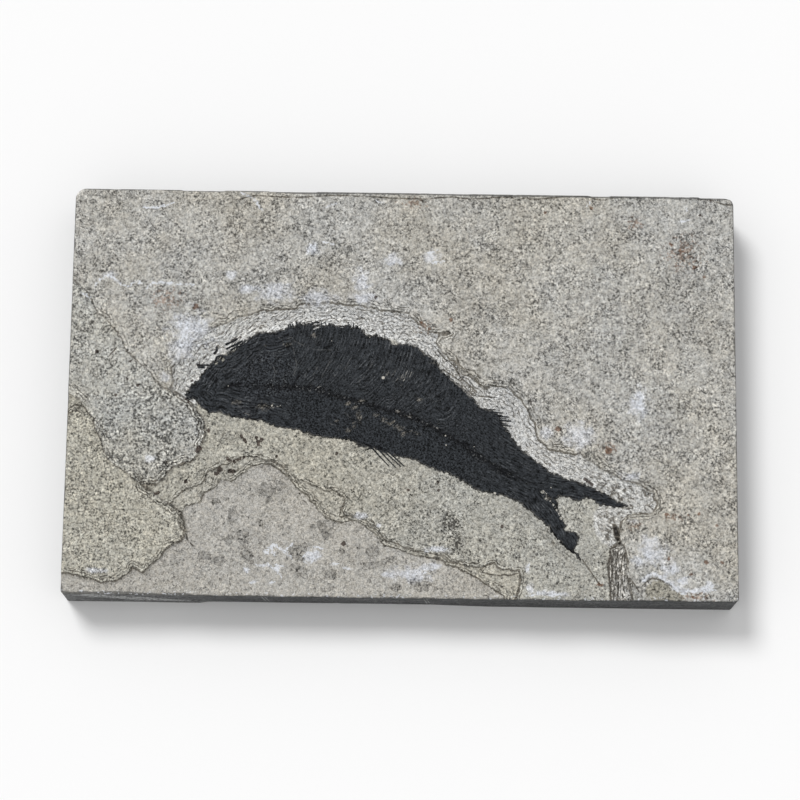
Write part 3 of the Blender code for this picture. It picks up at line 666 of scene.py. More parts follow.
def next_ring(bm, edges):
    """Extrude an open border and give back its new edges and vertices."""
    made = bmesh.ops.extrude_edge_only(bm, edges=edges)["geom"]
    return ([part for part in made if isinstance(part, bmesh.types.BMEdge)],
            [part for part in made if isinstance(part, bmesh.types.BMVert)])


def sawn(x, y, z):
    """A side vertex moved a little inward: saw waves, and the flake under the front."""
    wave = 0.05 * (1 + noise.noise(Vector((x * 0.08, z * 1.1, y * 0.08 + 3.0))))
    if y < 1 - HALF_WIDTH:
        start, end, deep, tall = SPALL
        along = min(1.0, max(0.0, (x - start) / 5)) * min(1.0, max(0.0, (end - x) / 30))
        ragged = 0.5 + 0.5 * noise.noise(Vector((x * 0.25, z * 0.6, 8.0)))
        wave += deep * along * max(0.0, 1 - z / (tall * (0.7 + 0.6 * ragged)))
    return wave


def add_sides(bm):
    """The four sawn sides and the underside, in rings down from the face's border."""
    edges = [edge for edge in bm.edges if edge.is_boundary]
    wide_x = HALF_LENGTH / (HALF_LENGTH - EDGE_ROUND)
    wide_y = HALF_WIDTH / (HALF_WIDTH - EDGE_ROUND)
    edges, ring = next_ring(bm, edges)
    for vertex in ring:
        vertex.co.x *= wide_x
        vertex.co.y *= wide_y
        vertex.co.z -= EDGE_ROUND
    sides = set()
    plan = {}
    for level in range(SIDE_RINGS):
        edges, ring = next_ring(bm, edges)
        left = SIDE_RINGS - level
        for vertex in ring:
            drop = vertex.co.z - UNDERSIDE_ROUND
            vertex.co.z = UNDERSIDE_ROUND + drop * (left - 1) / left
            plan[vertex] = vertex.co.copy()
        sides.update(face for vertex in ring for face in vertex.link_faces)
    edges, ring = next_ring(bm, edges)
    for vertex in ring:
        vertex.co.x /= wide_x
        vertex.co.y /= wide_y
        vertex.co.z = 0.0
        plan[vertex] = vertex.co.copy()
        sides.update(vertex.link_faces)
    for vertex, spot in plan.items():
        inward = sawn(*spot)
        vertex.co.x -= math.copysign(inward, spot.x) if abs(spot.x) > HALF_LENGTH - 1 else 0
        vertex.co.y -= math.copysign(inward, spot.y) if abs(spot.y) > HALF_WIDTH - 1 else 0
    made = bmesh.ops.holes_fill(bm, edges=edges)["faces"]
    sides.update(made)
    for face in bm.faces:
        face.smooth = True
    for face in sides:
        face.material_index = 1
    bmesh.ops.triangulate(bm, faces=made)
    bmesh.ops.recalc_face_normals(bm, faces=bm.faces)


def make_stone():
    bm = bmesh.new()
    bmesh.ops.create_grid(bm, x_segments=FACE_COLUMNS, y_segments=FACE_ROWS, size=1.0)
    half_x = HALF_LENGTH - EDGE_ROUND
    half_y = HALF_WIDTH - EDGE_ROUND
    bmesh.ops.scale(bm, vec=(half_x, half_y, 1), verts=bm.verts)
    border = np.array([vertex.is_boundary for vertex in bm.verts])
    points = snapped(round_corners(plan_of(bm.verts), half_x, half_y), border)
    depth = measure_fields(points)
    heights = face_heights(points, depth)
    for vertex, (x, y), z in zip(bm.verts, points.tolist(), heights.tolist()):
        vertex.co = (x, y, z)
    add_sides(bm)
    bm.verts.ensure_lookup_table()
    around = measure_fields(plan_of(bm.verts[len(points):]))
    bmesh.ops.scale(bm, vec=(MM, MM, MM), verts=bm.verts)
    mesh = bpy.data.meshes.new("split_limestone")
    bm.to_mesh(mesh)
    bm.free()
    for name in CARRIED:
        write_attribute(mesh, name, np.concatenate([depth[name], around[name]]))
    stone = bpy.data.objects.new("split_limestone", mesh)
    bpy.context.scene.collection.objects.link(stone)
    return stone


stone = make_stone()
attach(stone, "root")
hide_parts("stone_slab")
print("stone triangles", sum(len(face.vertices) - 2 for face in stone.data.polygons))

# %% [markdown]
# ## The fish
# The film is a thin domed sheet. A grid is laid over the fish, the faces outside its outline
# are dropped, and the vertices along the cut are pulled onto the outline. Ribs run from the
# back down toward the head, so a rib number is worked out for every point of the body.

# %% Lines of the skeleton
FILM_PITCH = 0.24
FILM_EDGE = 0.1
SAME_SPOT = 0.03
HOLE_MARGIN = 0.45
FILM_DOME = 0.62
FILM_UNDER = 14.6
FILM_HOLES = [           # x, y, half length, half width, turn in degrees
    (39.9, -28.3, 0.7, 0.35, -45), (40.9, -30, 0.4, 0.3, 0), (43, -31.9, 0.35, 0.5, 20),
    (43.9, -33.4, 0.4, 0.3, 0), (45.5, -35.7, 0.55, 0.8, 20), (-24.1, 18.9, 2, 0.28, 22),
    (-46.8, 12.7, 1.7, 0.3, 38), (-49.3, 10.5, 0.7, 0.3, 35), (-51.3, 8.8, 0.55, 0.5, 0),
    (-53.2, 7.7, 0.6, 0.3, 40), (-44.9, 14.3, 0.6, 0.25, 30), (-17.6, 18.9, 0.7, 0.2, -10),
    (-9.6, 16.3, 0.5, 0.3, -30)]
RIB_SPACING = 1.05
RIBS_START = -31.5
RIBS_END = 24.0
CHEEK = (-40.0, 4.7)
RIB_RELIEF = 0.05
ARC_RELIEF = 0.06


def fish_directions(points):
    """How every point of the fish lies to its backbone, back, ribs and cheek."""
    way = {}
    gap, spot, side = nearest_on(points, np.array(BACKBONE, dtype=np.float32), closed=False)
    for lobe in TAIL_LOBES:
        far, foot, turn = nearest_on(points, np.array(lobe, dtype=np.float32), closed=False)
        closer = (far < gap) & (foot[:, 0] > lobe[0][0] + 0.5)
        gap[closer], spot[closer], side[closer] = far[closer], foot[closer], turn[closer]
    way["across"] = gap * side
    way["along"] = spot[:, 0] - spot[:, 1]
    way["depth"], spots = depth_inside(points, FISH_OUTLINE)
    way["round"] = run_along(spots, FISH_SMOOTH)
    below = np.clip(height_on(FISH_BACK, points[:, 0]) - points[:, 1], 0, 30)
    way["below"] = below
    way["rib"] = (points[:, 0] + 0.1 * below + 0.022 * below * below) / RIB_SPACING
    way["cheek"] = np.hypot(points[:, 0] - CHEEK[0], 1.15 * (points[:, 1] - CHEEK[1]))
    way["turn"] = 6 * np.arctan2(points[:, 1] - CHEEK[1], points[:, 0] - CHEEK[0])
    way["ribbed"] = (ramp(points[:, 0], RIBS_START - 0.5, RIBS_START + 1)
                     * ramp(points[:, 0], RIBS_END, RIBS_END - 16) * ramp(way["across"], -0.6, 0.8))
    way["headed"] = ramp(points[:, 0], RIBS_START + 0.5, RIBS_START - 1.5)
    way["tailed"] = ramp(points[:, 0], 14, 32)
    return way


def film_heights(points, way):
    """Domed over the body, with ribs, head folds and a rough line along the backbone."""
    back = height_on(FISH_BACK, points[:, 0])
    belly = height_on(FISH_BELLY[::-1], points[:, 0])
    half = np.maximum((back - belly) / 2, 1.0)
    depth = np.maximum(way["depth"], 0)
    dome = FILM_DOME * np.clip(half / 13, 0.12, 1)
    rise = dome * np.sqrt(np.clip(depth / half, 0, 1))
    rough = 0.03 * rolling(points, 0.8, 11.0) + 0.03 * rolling(points, 4.0, 15.0)
    rough += RIB_RELIEF * way["ribbed"] * np.cos(2 * math.pi * way["rib"])
    folds = np.minimum(depth, way["cheek"] + 2.5)
    rough += ARC_RELIEF * way["headed"] * np.cos(2 * math.pi * folds / 1.3)
    seam = np.exp(-((way["across"] + 0.2) / 0.8) ** 2)
    rough += 0.09 * seam * rolling(points, 0.9, 19.0)
    return FISH_BED + FILM_EDGE + rise + rough * ramp(depth, 0, 0.8)


# %% Rays and spines, each (root, tip, width)
DORSAL_RAYS = [
    ((25.2, -5.3), (28.8, -5.6), 0.5), ((25.6, -6.3), (30.4, -6.8), 0.55), ((26.4, -7.5), (31, -8), 0.6),
    ((27, -8.8), (31, -9.4), 0.6), ((27.6, -10), (30.4, -10.7), 0.5), ((24.6, -4.6), (26.8, -4.7), 0.35),
    ((25.6, -5.8), (28.4, -6.3), 0.3), ((26.2, -7), (29.8, -7.3), 0.3), ((27, -8.2), (30, -8.8), 0.3),
    ((27.6, -9.6), (29.8, -10), 0.3), ((28.4, -10.8), (30.8, -11.6), 0.4)]
PELVIC_RAYS = [
    ((-8.4, -16.2), (-3.5, -21.5), 0.5), ((-7, -16.2), (-1.6, -21.8), 0.5),
    ((-5.8, -16.4), (-0.1, -21.5), 0.5), ((-4.6, -16.4), (0.8, -21.4), 0.55)]
SNOUT_SPINES = [
    ((-55.2, 7.2), (-58.6, 7.2), 0.5), ((-56.4, 6.6), (-58.4, 6.5), 0.8), ((-52.6, 9.2), (-51.6, 10.4), 0.3),
    ((-60.8, -0.6), (-61.7, -0.4), 0.3), ((-60.4, 0.4), (-61.4, 1), 0.25),
    ((-60.6, -1.8), (-61.5, -2.4), 0.35), ((-59.9, -2.6), (-61, -3.4), 0.3),
    ((-26.9, 18.6), (-22.2, 20.3), 0.28), ((-47.6, 13.1), (-45.6, 14.5), 0.28)]
FRAGMENTS = [
    [(-53.4, 8.4), (-53.2, 9.5), (-52.3, 10.1), (-50.9, 9.8), (-50.5, 9)], [(-54, 10.5), (-53.1, 11.5),
    (-53.1, 12.7)], [(-50.4, 12), (-48.9, 12.8), (-47.4, 13.6), (-45.9, 14.5)],
    [(-49.3, 11.6), (-47.7, 12.6), (-46.2, 13), (-45.1, 13.4)], [(-50.6, 13.3), (-48.6, 14.2), (-47.2, 15.1)],
    [(-61.7, -1.8), (-60.8, -1), (-59.8, -0.3)], [(-61.5, -2.6), (-60.4, -2.4), (-59.2, -1.4)],
    [(-26.4, 19.6), (-25.2, 20.3), (-24, 20.2)]]
FRAGMENT_WIDTH = 0.66
RAY_DEPTH = 0.9          # spines are as black as the film this far inside its outline
EDGE_ROOM = 0.04
BRISTLE_RANGES = [(-50, -44, 8), (-33, -26, 14), (-23.5, -20.5, 7), (-17.6, -11.6, 16), (-8.5, -3.6, 8), (1, 9, 6)]
BRISTLE_SEED = 12
RAY_LIFT = 0.08


def back_bristles():
    """Short spines that stand out from the back in the ragged stretches."""
    dice = random.Random(BRISTLE_SEED)
    spines = []
    for start, end, count in BRISTLE_RANGES:
        for _ in range(count):
            x = dice.uniform(start, end)
            y = float(height_on(FISH_BACK, x))
            lean = dice.uniform(-0.5, 0.25)
            length = dice.uniform(0.5, 1.6)
            spines.append(((x - 0.4 * lean, y - 0.4), (x + lean * length, y + 0.7 * length),
                           dice.uniform(0.22, 0.36)))
    return spines


def add_rays(bm):
    """Tapered spines that lie on the stone and follow its slope."""
    spines = DORSAL_RAYS + PELVIC_RAYS + SNOUT_SPINES + back_bristles()
    for line in FRAGMENTS:
        spines += [(root, tip, FRAGMENT_WIDTH) for root, tip in zip(line, line[1:])]
    ends = np.array([spot for root, tip, _ in spines for spot in (root, tip)], dtype=np.float32)
    levels = face_heights(ends, measure_fields(ends)) + RAY_LIFT
    rays = set()
    for (root, tip, width), low, high in zip(spines, levels[::2].tolist(), levels[1::2].tolist()):
        start, end = Vector((*root, low)), Vector((*tip, high))
        lie = Matrix.Translation((start + end) / 2) @ (end - start).to_track_quat("Z", "Y").to_matrix().to_4x4()
        made = bmesh.ops.create_cone(bm, cap_ends=True, segments=8, radius1=width / 2, radius2=width / 4,
                                     depth=(end - start).length, matrix=lie)
        rays.update(made["verts"])
    return rays


# %% Build the film


def in_holes(points):
    """True where the film has a hole."""
    wobble = 0.25 * rolling(points, 0.8, 21.0, 2)
    gone = np.zeros(len(points), dtype=bool)
    for x, y, half_x, half_y, degrees in FILM_HOLES:
        c, s = math.cos(math.radians(degrees)), math.sin(math.radians(degrees))
        away = points - (x, y)
        along = (away[:, 0] * c + away[:, 1] * s) / half_x
        across = (away[:, 1] * c - away[:, 0] * s) / half_y
        gone |= np.hypot(along, across) < 1 + wobble
    return gone


def drop_corner_contacts(bm):
    """Faces that touch the rest at one corner are dropped, so that the border is a plain loop."""
    tight = True
    while tight:
        tight = [vertex for vertex in bm.verts if sum(edge.is_boundary for edge in vertex.link_edges) > 2]
        bmesh.ops.delete(bm, geom=list({vertex.link_faces[0] for vertex in tight}), context="FACES")


def trimmed_grid(bm):
    """A grid over the fish, cut to its outline."""
    reach_x = (FISH_HIGH[0] - FISH_LOW[0]) / 2 + 1
    reach_y = (FISH_HIGH[1] - FISH_LOW[1]) / 2 + 1
    middle = ((FISH_HIGH[0] + FISH_LOW[0]) / 2, (FISH_HIGH[1] + FISH_LOW[1]) / 2, FILM_UNDER)
    bmesh.ops.create_grid(bm, x_segments=round(2 * reach_x / FILM_PITCH),
                          y_segments=round(2 * reach_y / FILM_PITCH), size=1.0)
    bmesh.ops.scale(bm, vec=(reach_x, reach_y, 1), verts=bm.verts)
    bmesh.ops.translate(bm, vec=middle, verts=bm.verts)
    centres = np.array([face.calc_center_median()[:2] for face in bm.faces], dtype=np.float32)
    deep = depth_inside(centres, FISH_OUTLINE)[0]
    dropped = (deep < 0) | (in_holes(centres) & (deep > HOLE_MARGIN))
    outside = [face for face, drop in zip(bm.faces, dropped) if drop]
    bmesh.ops.delete(bm, geom=outside, context="FACES")
    drop_corner_contacts(bm)
    border = [vertex for vertex in bm.verts if vertex.is_boundary]
    cut = plan_of(border)
    gap, spots, _ = nearest_on(cut, FISH_OUTLINE)
    for vertex, (x, y), far in zip(border, spots.tolist(), gap.tolist()):
        if far < FILM_PITCH:
            vertex.co.x, vertex.co.y = x, y
    bmesh.ops.remove_doubles(bm, verts=border, dist=SAME_SPOT)
    drop_corner_contacts(bm)


def make_film():
    bm = bmesh.new()
    trimmed_grid(bm)
    top = list(bm.verts)
    points = plan_of(top)
    for vertex, z in zip(top, film_heights(points, fish_directions(points)).tolist()):
        vertex.co.z = z
    edges, ring = next_ring(bm, [edge for edge in bm.edges if edge.is_boundary])
    for vertex in ring:
        vertex.co.z = FILM_UNDER
    bmesh.ops.triangle_fill(bm, use_beauty=True, edges=edges)
    for face in bm.faces:
        face.smooth = True
    rays = add_rays(bm)
    for vertex in rays:
        vertex.co.z = min(vertex.co.z, TOP - EDGE_ROOM)
    bmesh.ops.recalc_face_normals(bm, faces=bm.faces)
    open_edges = sum(1 for edge in bm.edges if len(edge.link_faces) != 2)
    way = fish_directions(plan_of(bm.verts))
    way["depth"][[vertex in rays for vertex in bm.verts]] = RAY_DEPTH
    bmesh.ops.scale(bm, vec=(MM, MM, MM), verts=bm.verts)
    mesh = bpy.data.meshes.new("bone_film")
    bm.to_mesh(mesh)
    bm.free()
    for name, values in way.items():
        write_attribute(mesh, name, values)
    film = bpy.data.objects.new("bone_film", mesh)
    bpy.context.scene.collection.objects.link(film)
    print("film edges that do not join two faces:", open_edges)
    return film


film = make_film()
print("film triangles", sum(len(face.vertices) - 2 for face in film.data.polygons))

# %% [markdown]
# The film carries marks too: patches of stone that show through, pale specks, a black fold
# in the mouth and a few bright lines over the gill, the shoulder and the back.

# %% Marks on the film
TANS = [(-39.6, -4.7, 4, 1.5), (-15.2, -3.6, 1.6, 0.9), (-13.6, -4.6, 1.5, 1.2), (-12.6, -6.2, 1.2, 1.5),
        (-12.3, -8, 1.2, 1.7), (-13.5, -9.8, 1.4, 1.3), (-15.4, -11.3, 1.6, 0.8), (-11.4, -2.8, 2, 0.7),
        (-18.8, -8.7, 1.3, 0.6), (-7, -6.7, 1.5, 0.9), (-5, -8.1, 1.7, 1.2), (-2.9, -9, 1.7, 1.2),
        (-1.2, -10.2, 1.5, 1.2), (0.4, -11.6, 1.3, 1.5), (3, -11.8, 2.6, 0.8), (-0.8, -5.7, 1.2, 0.7),
        (2, -7.1, 1.3, 0.6), (4.9, -2.1, 1.3, 0.7), (-33, 13.4, 1.4, 1.2), (-25.8, 16.3, 1.6, 1.2),
        (-47, -3.6, 1.8, 0.9), (41.6, -30.2, 1.8, 1),
        (-39.1, 13, 0.7, 0.6), (9.3, 8.8, 2.4, 0.8), (30.2, -10.6, 1.2, 0.8)]
PALE_DOTS = [(-5.5, 4.1, 0.42), (12.4, -12.5, 0.34), (12.6, -15.2, 0.18), (-49.5, 1.1, 0.24),
             (-20.4, 14.8, 0.16), (26.5, -28.8, 0.4), (-37, -4.5, 0.24), (-34.6, -4.4, 0.22),
             (20.6, -15.6, 0.16), (42.3, -27, 0.16), (39.9, -28.3, 0.5), (41.1, -28.8, 0.2),
             (40.9, -30, 0.34), (43, -31.9, 0.36), (43.9, -33.4, 0.32), (45.2, -35.6, 0.42),
             (44.6, -34.4, 0.2), (42.1, -30.9, 0.2)]
FLECKS = [[(-2.2, 6), (-2.8, 5.1)], [(-1, 4.4), (-1.6, 3.4)], [(-0.1, 4.9), (-0.6, 3.9)],
          [(0.9, 4.3), (0.3, 3.3)], [(1.4, 6.2), (0.9, 5.2)], [(2.7, 5.9), (2.1, 4.7)],
          [(0.2, 2.6), (-0.2, 2.1)], [(-4.2, 5.6), (-4.6, 4.9)], [(-24.1, 0.9), (-23.5, 1.2)],
          [(1.7, -7), (2.3, -7.3)], [(-1.4, -5.5), (-0.8, -5.8)], [(4.7, -1.9), (5.1, -2.4)],
          [(9.5, -10), (10, -10.3)], [(-36.6, -5), (-35.4, -4.8)],
          [(13.8, 3.9), (15.8, 2.8), (17.6, 1), (19.3, -0.7)], [(15.4, 2.6), (17.3, 1), (18.7, -0.5)],
          [(-44.2, -6.9), (-43.4, -7.1)], [(6.9, 11), (8.6, 9.8)]]
FOLDS = [[(-50.6, 0.5), (-48.8, 1.2), (-46.2, 1.8)], [(46.8, -44.4), (44, -41.5), (41.8, -38.2)],
         [(49.4, -46), (46.8, -44.4)], [(-29.3, 5.5), (-30.1, 3), (-31.4, 0.6)], [(-4, -17), (-12, -15), (-17, -13.6)]]
GLINTS = [[(-32.8, 15.1), (-31.4, 13.2), (-30.8, 10.6), (-30.1, 7.5), (-30.9, 4.4)],
          [(-31.3, 14.6), (-27.6, 12.9), (-24.4, 12), (-20.5, 12.1)], [(-36.2, 16.1), (-34.4, 14.6)],
          [(-33, 15.8), (-31.6, 15.5), (-30.8, 14.2)], [(-31.6, 13.6), (-31.2, 12.6)],
          [(-1.6, 2.6), (0.6, 4.9)], [(-2.8, 2.9), (-1.4, 4.6)], [(1, 3), (3, 5.6)],
          [(-25.4, 4.6), (-24.2, 7)], [(-23, 4.2), (-20.6, 8.8)], [(-27.8, 4), (-26.6, 6.6)],
          [(-16.4, 6.6), (-14.8, 9.6)], [(-12.8, 2.2), (-10.6, 4.6)], [(-19.4, 4.4), (-17, 8.2)],
          [(-10.8, 4.8), (-8.4, 8.4)], [(-37.2, 7.4), (-36.2, 5.6), (-36.6, 3.4)],
          [(-47.4, -3.8), (-45.4, -5.6), (-42.6, -6.6)], [(-16.2, -6.2), (-14.8, -7.6)],
          [(10.2, 7.6), (12.6, 5.6), (15.6, 2.4), (18.4, -0.6)], [(22.6, -2.6), (26.4, -7.2)],
          [(-13.2, -14.4), (-9.4, -16), (-7.4, -16.6)], [(-20.2, -9.4), (-18.8, -10), (-18, -11.2)]]
places = np.empty(len(film.data.vertices) * 3, dtype=np.float32)
film.data.vertices.foreach_get("co", places)
places = places.reshape(-1, 3)[:, :2] / MM
write_attribute(film.data, "tan", patch_field(places, TANS))
pale_ways, pale_near = dot_field(places, PALE_DOTS)
write_attribute(film.data, "pale", pale_ways)
write_attribute(film.data, "pale_near", pale_near)
for name, lines in (("fold", FOLDS), ("glint", GLINTS), ("fleck", FLECKS)):
    signed, gap = stroke_field(places, lines)
    write_attribute(film.data, name, signed)
    write_attribute(film.data, name + "_gap", gap)
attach(film, "root")
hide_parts("fossil_fish")

# %% [markdown]
# ## Building finishes
# Finishes are networks of small nodes. These helpers keep them short: a value may be a
# number or another node's output, and each helper gives back the output it made.

# %% Node helpers


def feed(tree, socket, value):
    """Set a socket to a number or link it to an output."""
    if isinstance(value, bpy.types.NodeSocket):
        tree.links.new(value, socket)
    else:
        socket.default_value = value


def maths(tree, operation, first, second=0.0, third=0.0):
    node = tree.nodes.new("ShaderNodeMath")
    node.operation = operation
    for socket, value in zip(node.inputs, (first, second, third)):
        feed(tree, socket, value)
    return node.outputs[0]


def product(tree, *factors):
    """All factors multiplied together."""
    result = factors[0]
    for factor in factors[1:]:
        result = maths(tree, "MULTIPLY", result, factor)
    return result


def nudged(tree, value, amount, noise_value):
    """A value pushed up and down by noise, so that its borders wander."""
    return maths(tree, "MULTIPLY_ADD", maths(tree, "SUBTRACT", noise_value, 0.5), amount, value)


def smooth_step(tree, value, start, end):
    """0 at start, 1 at end, smooth between them."""
    node = tree.nodes.new("ShaderNodeMapRange")
    node.interpolation_type = "SMOOTHSTEP"
    feed(tree, node.inputs["Value"], value)
    feed(tree, node.inputs["From Min"], start)
    feed(tree, node.inputs["From Max"], end)
    return node.outputs["Result"]


def falling_step(tree, value, start, end):
    """1 at start, 0 at end."""
    return maths(tree, "SUBTRACT", 1.0, smooth_step(tree, value, start, end))


def grain_of(tree, place, size, detail=2.0, roughness=0.5, seed=0.0, swirl=0.0):
    """Noise with lumps of a size in millimetres."""
    node = tree.nodes.new("ShaderNodeTexNoise")
    node.noise_dimensions = "4D"
    feed(tree, node.inputs["Vector"], place)
    node.inputs["Scale"].default_value = 1 / size
    node.inputs["Detail"].default_value = detail
    node.inputs["Roughness"].default_value = roughness
    node.inputs["W"].default_value = seed
    node.inputs["Distortion"].default_value = swirl
    return node.outputs["Fac"]


def streaked(tree, lengthwise, crosswise, stretch, size, detail=2.0, seed=0.0):
    """Noise drawn out along one direction of the surface."""
    node = tree.nodes.new("ShaderNodeCombineXYZ")
    feed(tree, node.inputs["X"], maths(tree, "DIVIDE", lengthwise, stretch))
    feed(tree, node.inputs["Y"], crosswise)
    return grain_of(tree, node.outputs[0], size, detail, 0.55, seed)


def mixed(tree, share, first, second):
    node = tree.nodes.new("ShaderNodeMix")
    node.data_type = "RGBA"
    feed(tree, node.inputs["Factor"], share)
    feed(tree, node.inputs["A"], first)
    feed(tree, node.inputs["B"], second)
    return node.outputs["Result"]


def mixed_value(tree, share, first, second):
    node = tree.nodes.new("ShaderNodeMix")
    feed(tree, node.inputs["Factor"], share)
    feed(tree, node.inputs["A"], first)
    feed(tree, node.inputs["B"], second)
    return node.outputs["Result"]


def toned(tree, colour, shade):
    """A colour made darker or lighter by a factor."""
    node = tree.nodes.new("ShaderNodeVectorMath")
    node.operation = "SCALE"
    feed(tree, node.inputs[0], colour if isinstance(colour, bpy.types.NodeSocket) else colour[:3])
    feed(tree, node.inputs["Scale"], shade)
    return node.outputs[0]


def painted(tree, name):
    """A value that the mesh carries."""
    node = tree.nodes.new("ShaderNodeAttribute")
    node.attribute_name = name
    return node.outputs["Fac"]


def painted_dot(tree, name):
    """Millimetres inside the nearest dot's border, from the way to it."""
    node = tree.nodes.new("ShaderNodeAttribute")
    node.attribute_name = name
    x, y, radius = parts_of(tree, node.outputs["Vector"])
    gap = maths(tree, "SQRT", maths(tree, "MULTIPLY_ADD", x, x, maths(tree, "MULTIPLY", y, y)))
    within = maths(tree, "SUBTRACT", radius, gap)
    far = falling_step(tree, painted(tree, name + "_near"), -0.7, -0.5)
    return maths(tree, "MULTIPLY_ADD", far, -3.0, within)


def place_in_mm(tree):
    """The object's own coordinates, in millimetres."""
    coordinates = tree.nodes.new("ShaderNodeTexCoord")
    mapping = tree.nodes.new("ShaderNodeMapping")
    mapping.inputs["Scale"].default_value = (1 / MM, 1 / MM, 1 / MM)
    tree.links.new(coordinates.outputs["Object"], mapping.inputs["Vector"])
    return mapping.outputs["Vector"]


def parts_of(tree, place):
    """The three coordinates of a place."""
    node = tree.nodes.new("ShaderNodeSeparateXYZ")
    tree.links.new(place, node.inputs[0])
    return node.outputs


def new_finish(name):
    """A material with its tree and shader."""
    finish = bpy.data.materials.new(name)
    finish.use_nodes = True
    return finish, finish.node_tree, finish.node_tree.nodes["Principled BSDF"]


def bumped(tree, shader, height, depth_mm):
    node = tree.nodes.new("ShaderNodeBump")
    node.inputs["Distance"].default_value = depth_mm * MM
    feed(tree, node.inputs["Height"], height)
    tree.links.new(node.outputs["Normal"], shader.inputs["Normal"])


def new_group(name, inputs, outputs):
    """A shared node group; inputs are (name, kind, value), outputs (name, kind)."""
    tree = bpy.data.node_groups.new(name, "ShaderNodeTree")
    kinds = {"value": "NodeSocketFloat", "vector": "NodeSocketVector", "colour": "NodeSocketColor"}
    for label, kind, value in inputs:
        socket = tree.interface.new_socket(label, in_out="INPUT", socket_type=kinds[kind])
        if value is not None:
            socket.default_value = value
    for label, kind in outputs:
        tree.interface.new_socket(label, in_out="OUTPUT", socket_type=kinds[kind])
    return tree, tree.nodes.new("NodeGroupInput").outputs, tree.nodes.new("NodeGroupOutput").inputs


def use_group(tree, group, **values):
    node = tree.nodes.new("ShaderNodeGroup")
    node.node_tree = group
    for label, value in values.items():
        feed(tree, node.inputs[label], value)
    return node.outputs


print("node helpers ready")

# %% [markdown]
# ### Shared effects
# Limestone is a felt of pale and dark grains, busier in some places than in others. The same
# grain is used on the split face and on the sawn sides, so it is a node group.

# %% Stone grain group
WARM_GRAIN = (1.014, 1.0, 0.98, 1)
COOL_GRAIN = (0.992, 1.0, 1.014, 1)
WARM_REACH = (1.026, 1.0, 0.95, 1)
COOL_REACH = (0.983, 1.0, 1.03, 1)


def stone_grain_group():
    tree, given, result = new_group(
        "stone_grain", [("Place", "vector", None), ("Contrast", "value", 1.0), ("Specks", "value", 1.0),
                        ("Net", "value", 0.15), ("Wide", "value", 1.0)],
        [("Shade", "value"), ("Tint", "colour"), ("Height", "value")])
    place = given["Place"]
    fine = grain_of(tree, place, 0.58, 2.0, 0.62, 1.0, 0.5)
    middle = grain_of(tree, place, 1.3, 3.0, 0.55, 2.0, 0.6)
    wide = grain_of(tree, place, 13.0, 2.0, 0.5, 3.0)
    busy = mixed_value(tree, smooth_step(tree, grain_of(tree, place, 4.2, 2.0, 0.5, 7.0), 0.38, 0.62), 0.72, 1.25)
    grains = maths(tree, "ADD", product(tree, maths(tree, "SUBTRACT", fine, 0.5), busy, 4.9),
                   product(tree, maths(tree, "SUBTRACT", middle, 0.5), 2.0))
    shade = maths(tree, "MULTIPLY_ADD", grains, given["Contrast"], 1.03)
    shade = nudged(tree, shade, maths(tree, "MULTIPLY", given["Wide"], 0.28), maths(tree, "SUBTRACT", 1.5, busy))
    shade = nudged(tree, shade, maths(tree, "MULTIPLY", given["Wide"], 0.62), wide)
    dark = falling_step(tree, grain_of(tree, place, 1.05, 3.0, 0.6, 4.0, 0.5), 0.33, 0.43)
    shade = maths(tree, "MULTIPLY_ADD", product(tree, dark, given["Specks"]), -0.2, shade)
    bright = smooth_step(tree, grain_of(tree, place, 0.85, 2.0, 0.5, 5.0, 0.5), 0.62, 0.7)
    shade = maths(tree, "MULTIPLY_ADD", product(tree, bright, given["Contrast"]), 0.46, shade)
    vein = maths(tree, "ABSOLUTE", maths(tree, "SUBTRACT", grain_of(tree, place, 1.5, 2.0, 0.5, 13.0, 0.8), 0.5))
    vein = product(tree, falling_step(tree, vein, 0.0, 0.07), busy, given["Net"])
    shade = maths(tree, "SUBTRACT", shade, vein)
    tree.links.new(maths(tree, "MAXIMUM", shade, 0.2), result["Shade"])
    tint = mixed(tree, smooth_step(tree, grain_of(tree, place, 0.9, 2.0, 0.5, 6.0), 0.35, 0.65),
                 WARM_GRAIN, COOL_GRAIN)
    reach = mixed(tree, smooth_step(tree, grain_of(tree, place, 24.0, 3.0, 0.5, 16.0), 0.35, 0.65),
                  WARM_REACH, COOL_REACH)
    reach = mixed(tree, maths(tree, "MULTIPLY", given["Wide"], 0.8), (1, 1, 1, 1), reach)
    both = tree.nodes.new("ShaderNodeVectorMath")
    both.operation = "MULTIPLY"
    feed(tree, both.inputs[0], tint)
    feed(tree, both.inputs[1], reach)
    tree.links.new(both.outputs[0], result["Tint"])
    height = maths(tree, "ADD", fine, maths(tree, "MULTIPLY", middle, 1.5))
    tree.links.new(maths(tree, "SUBTRACT", height, maths(tree, "MULTIPLY", dark, 0.4)), result["Height"])
    return tree


STONE_GRAIN = stone_grain_group()
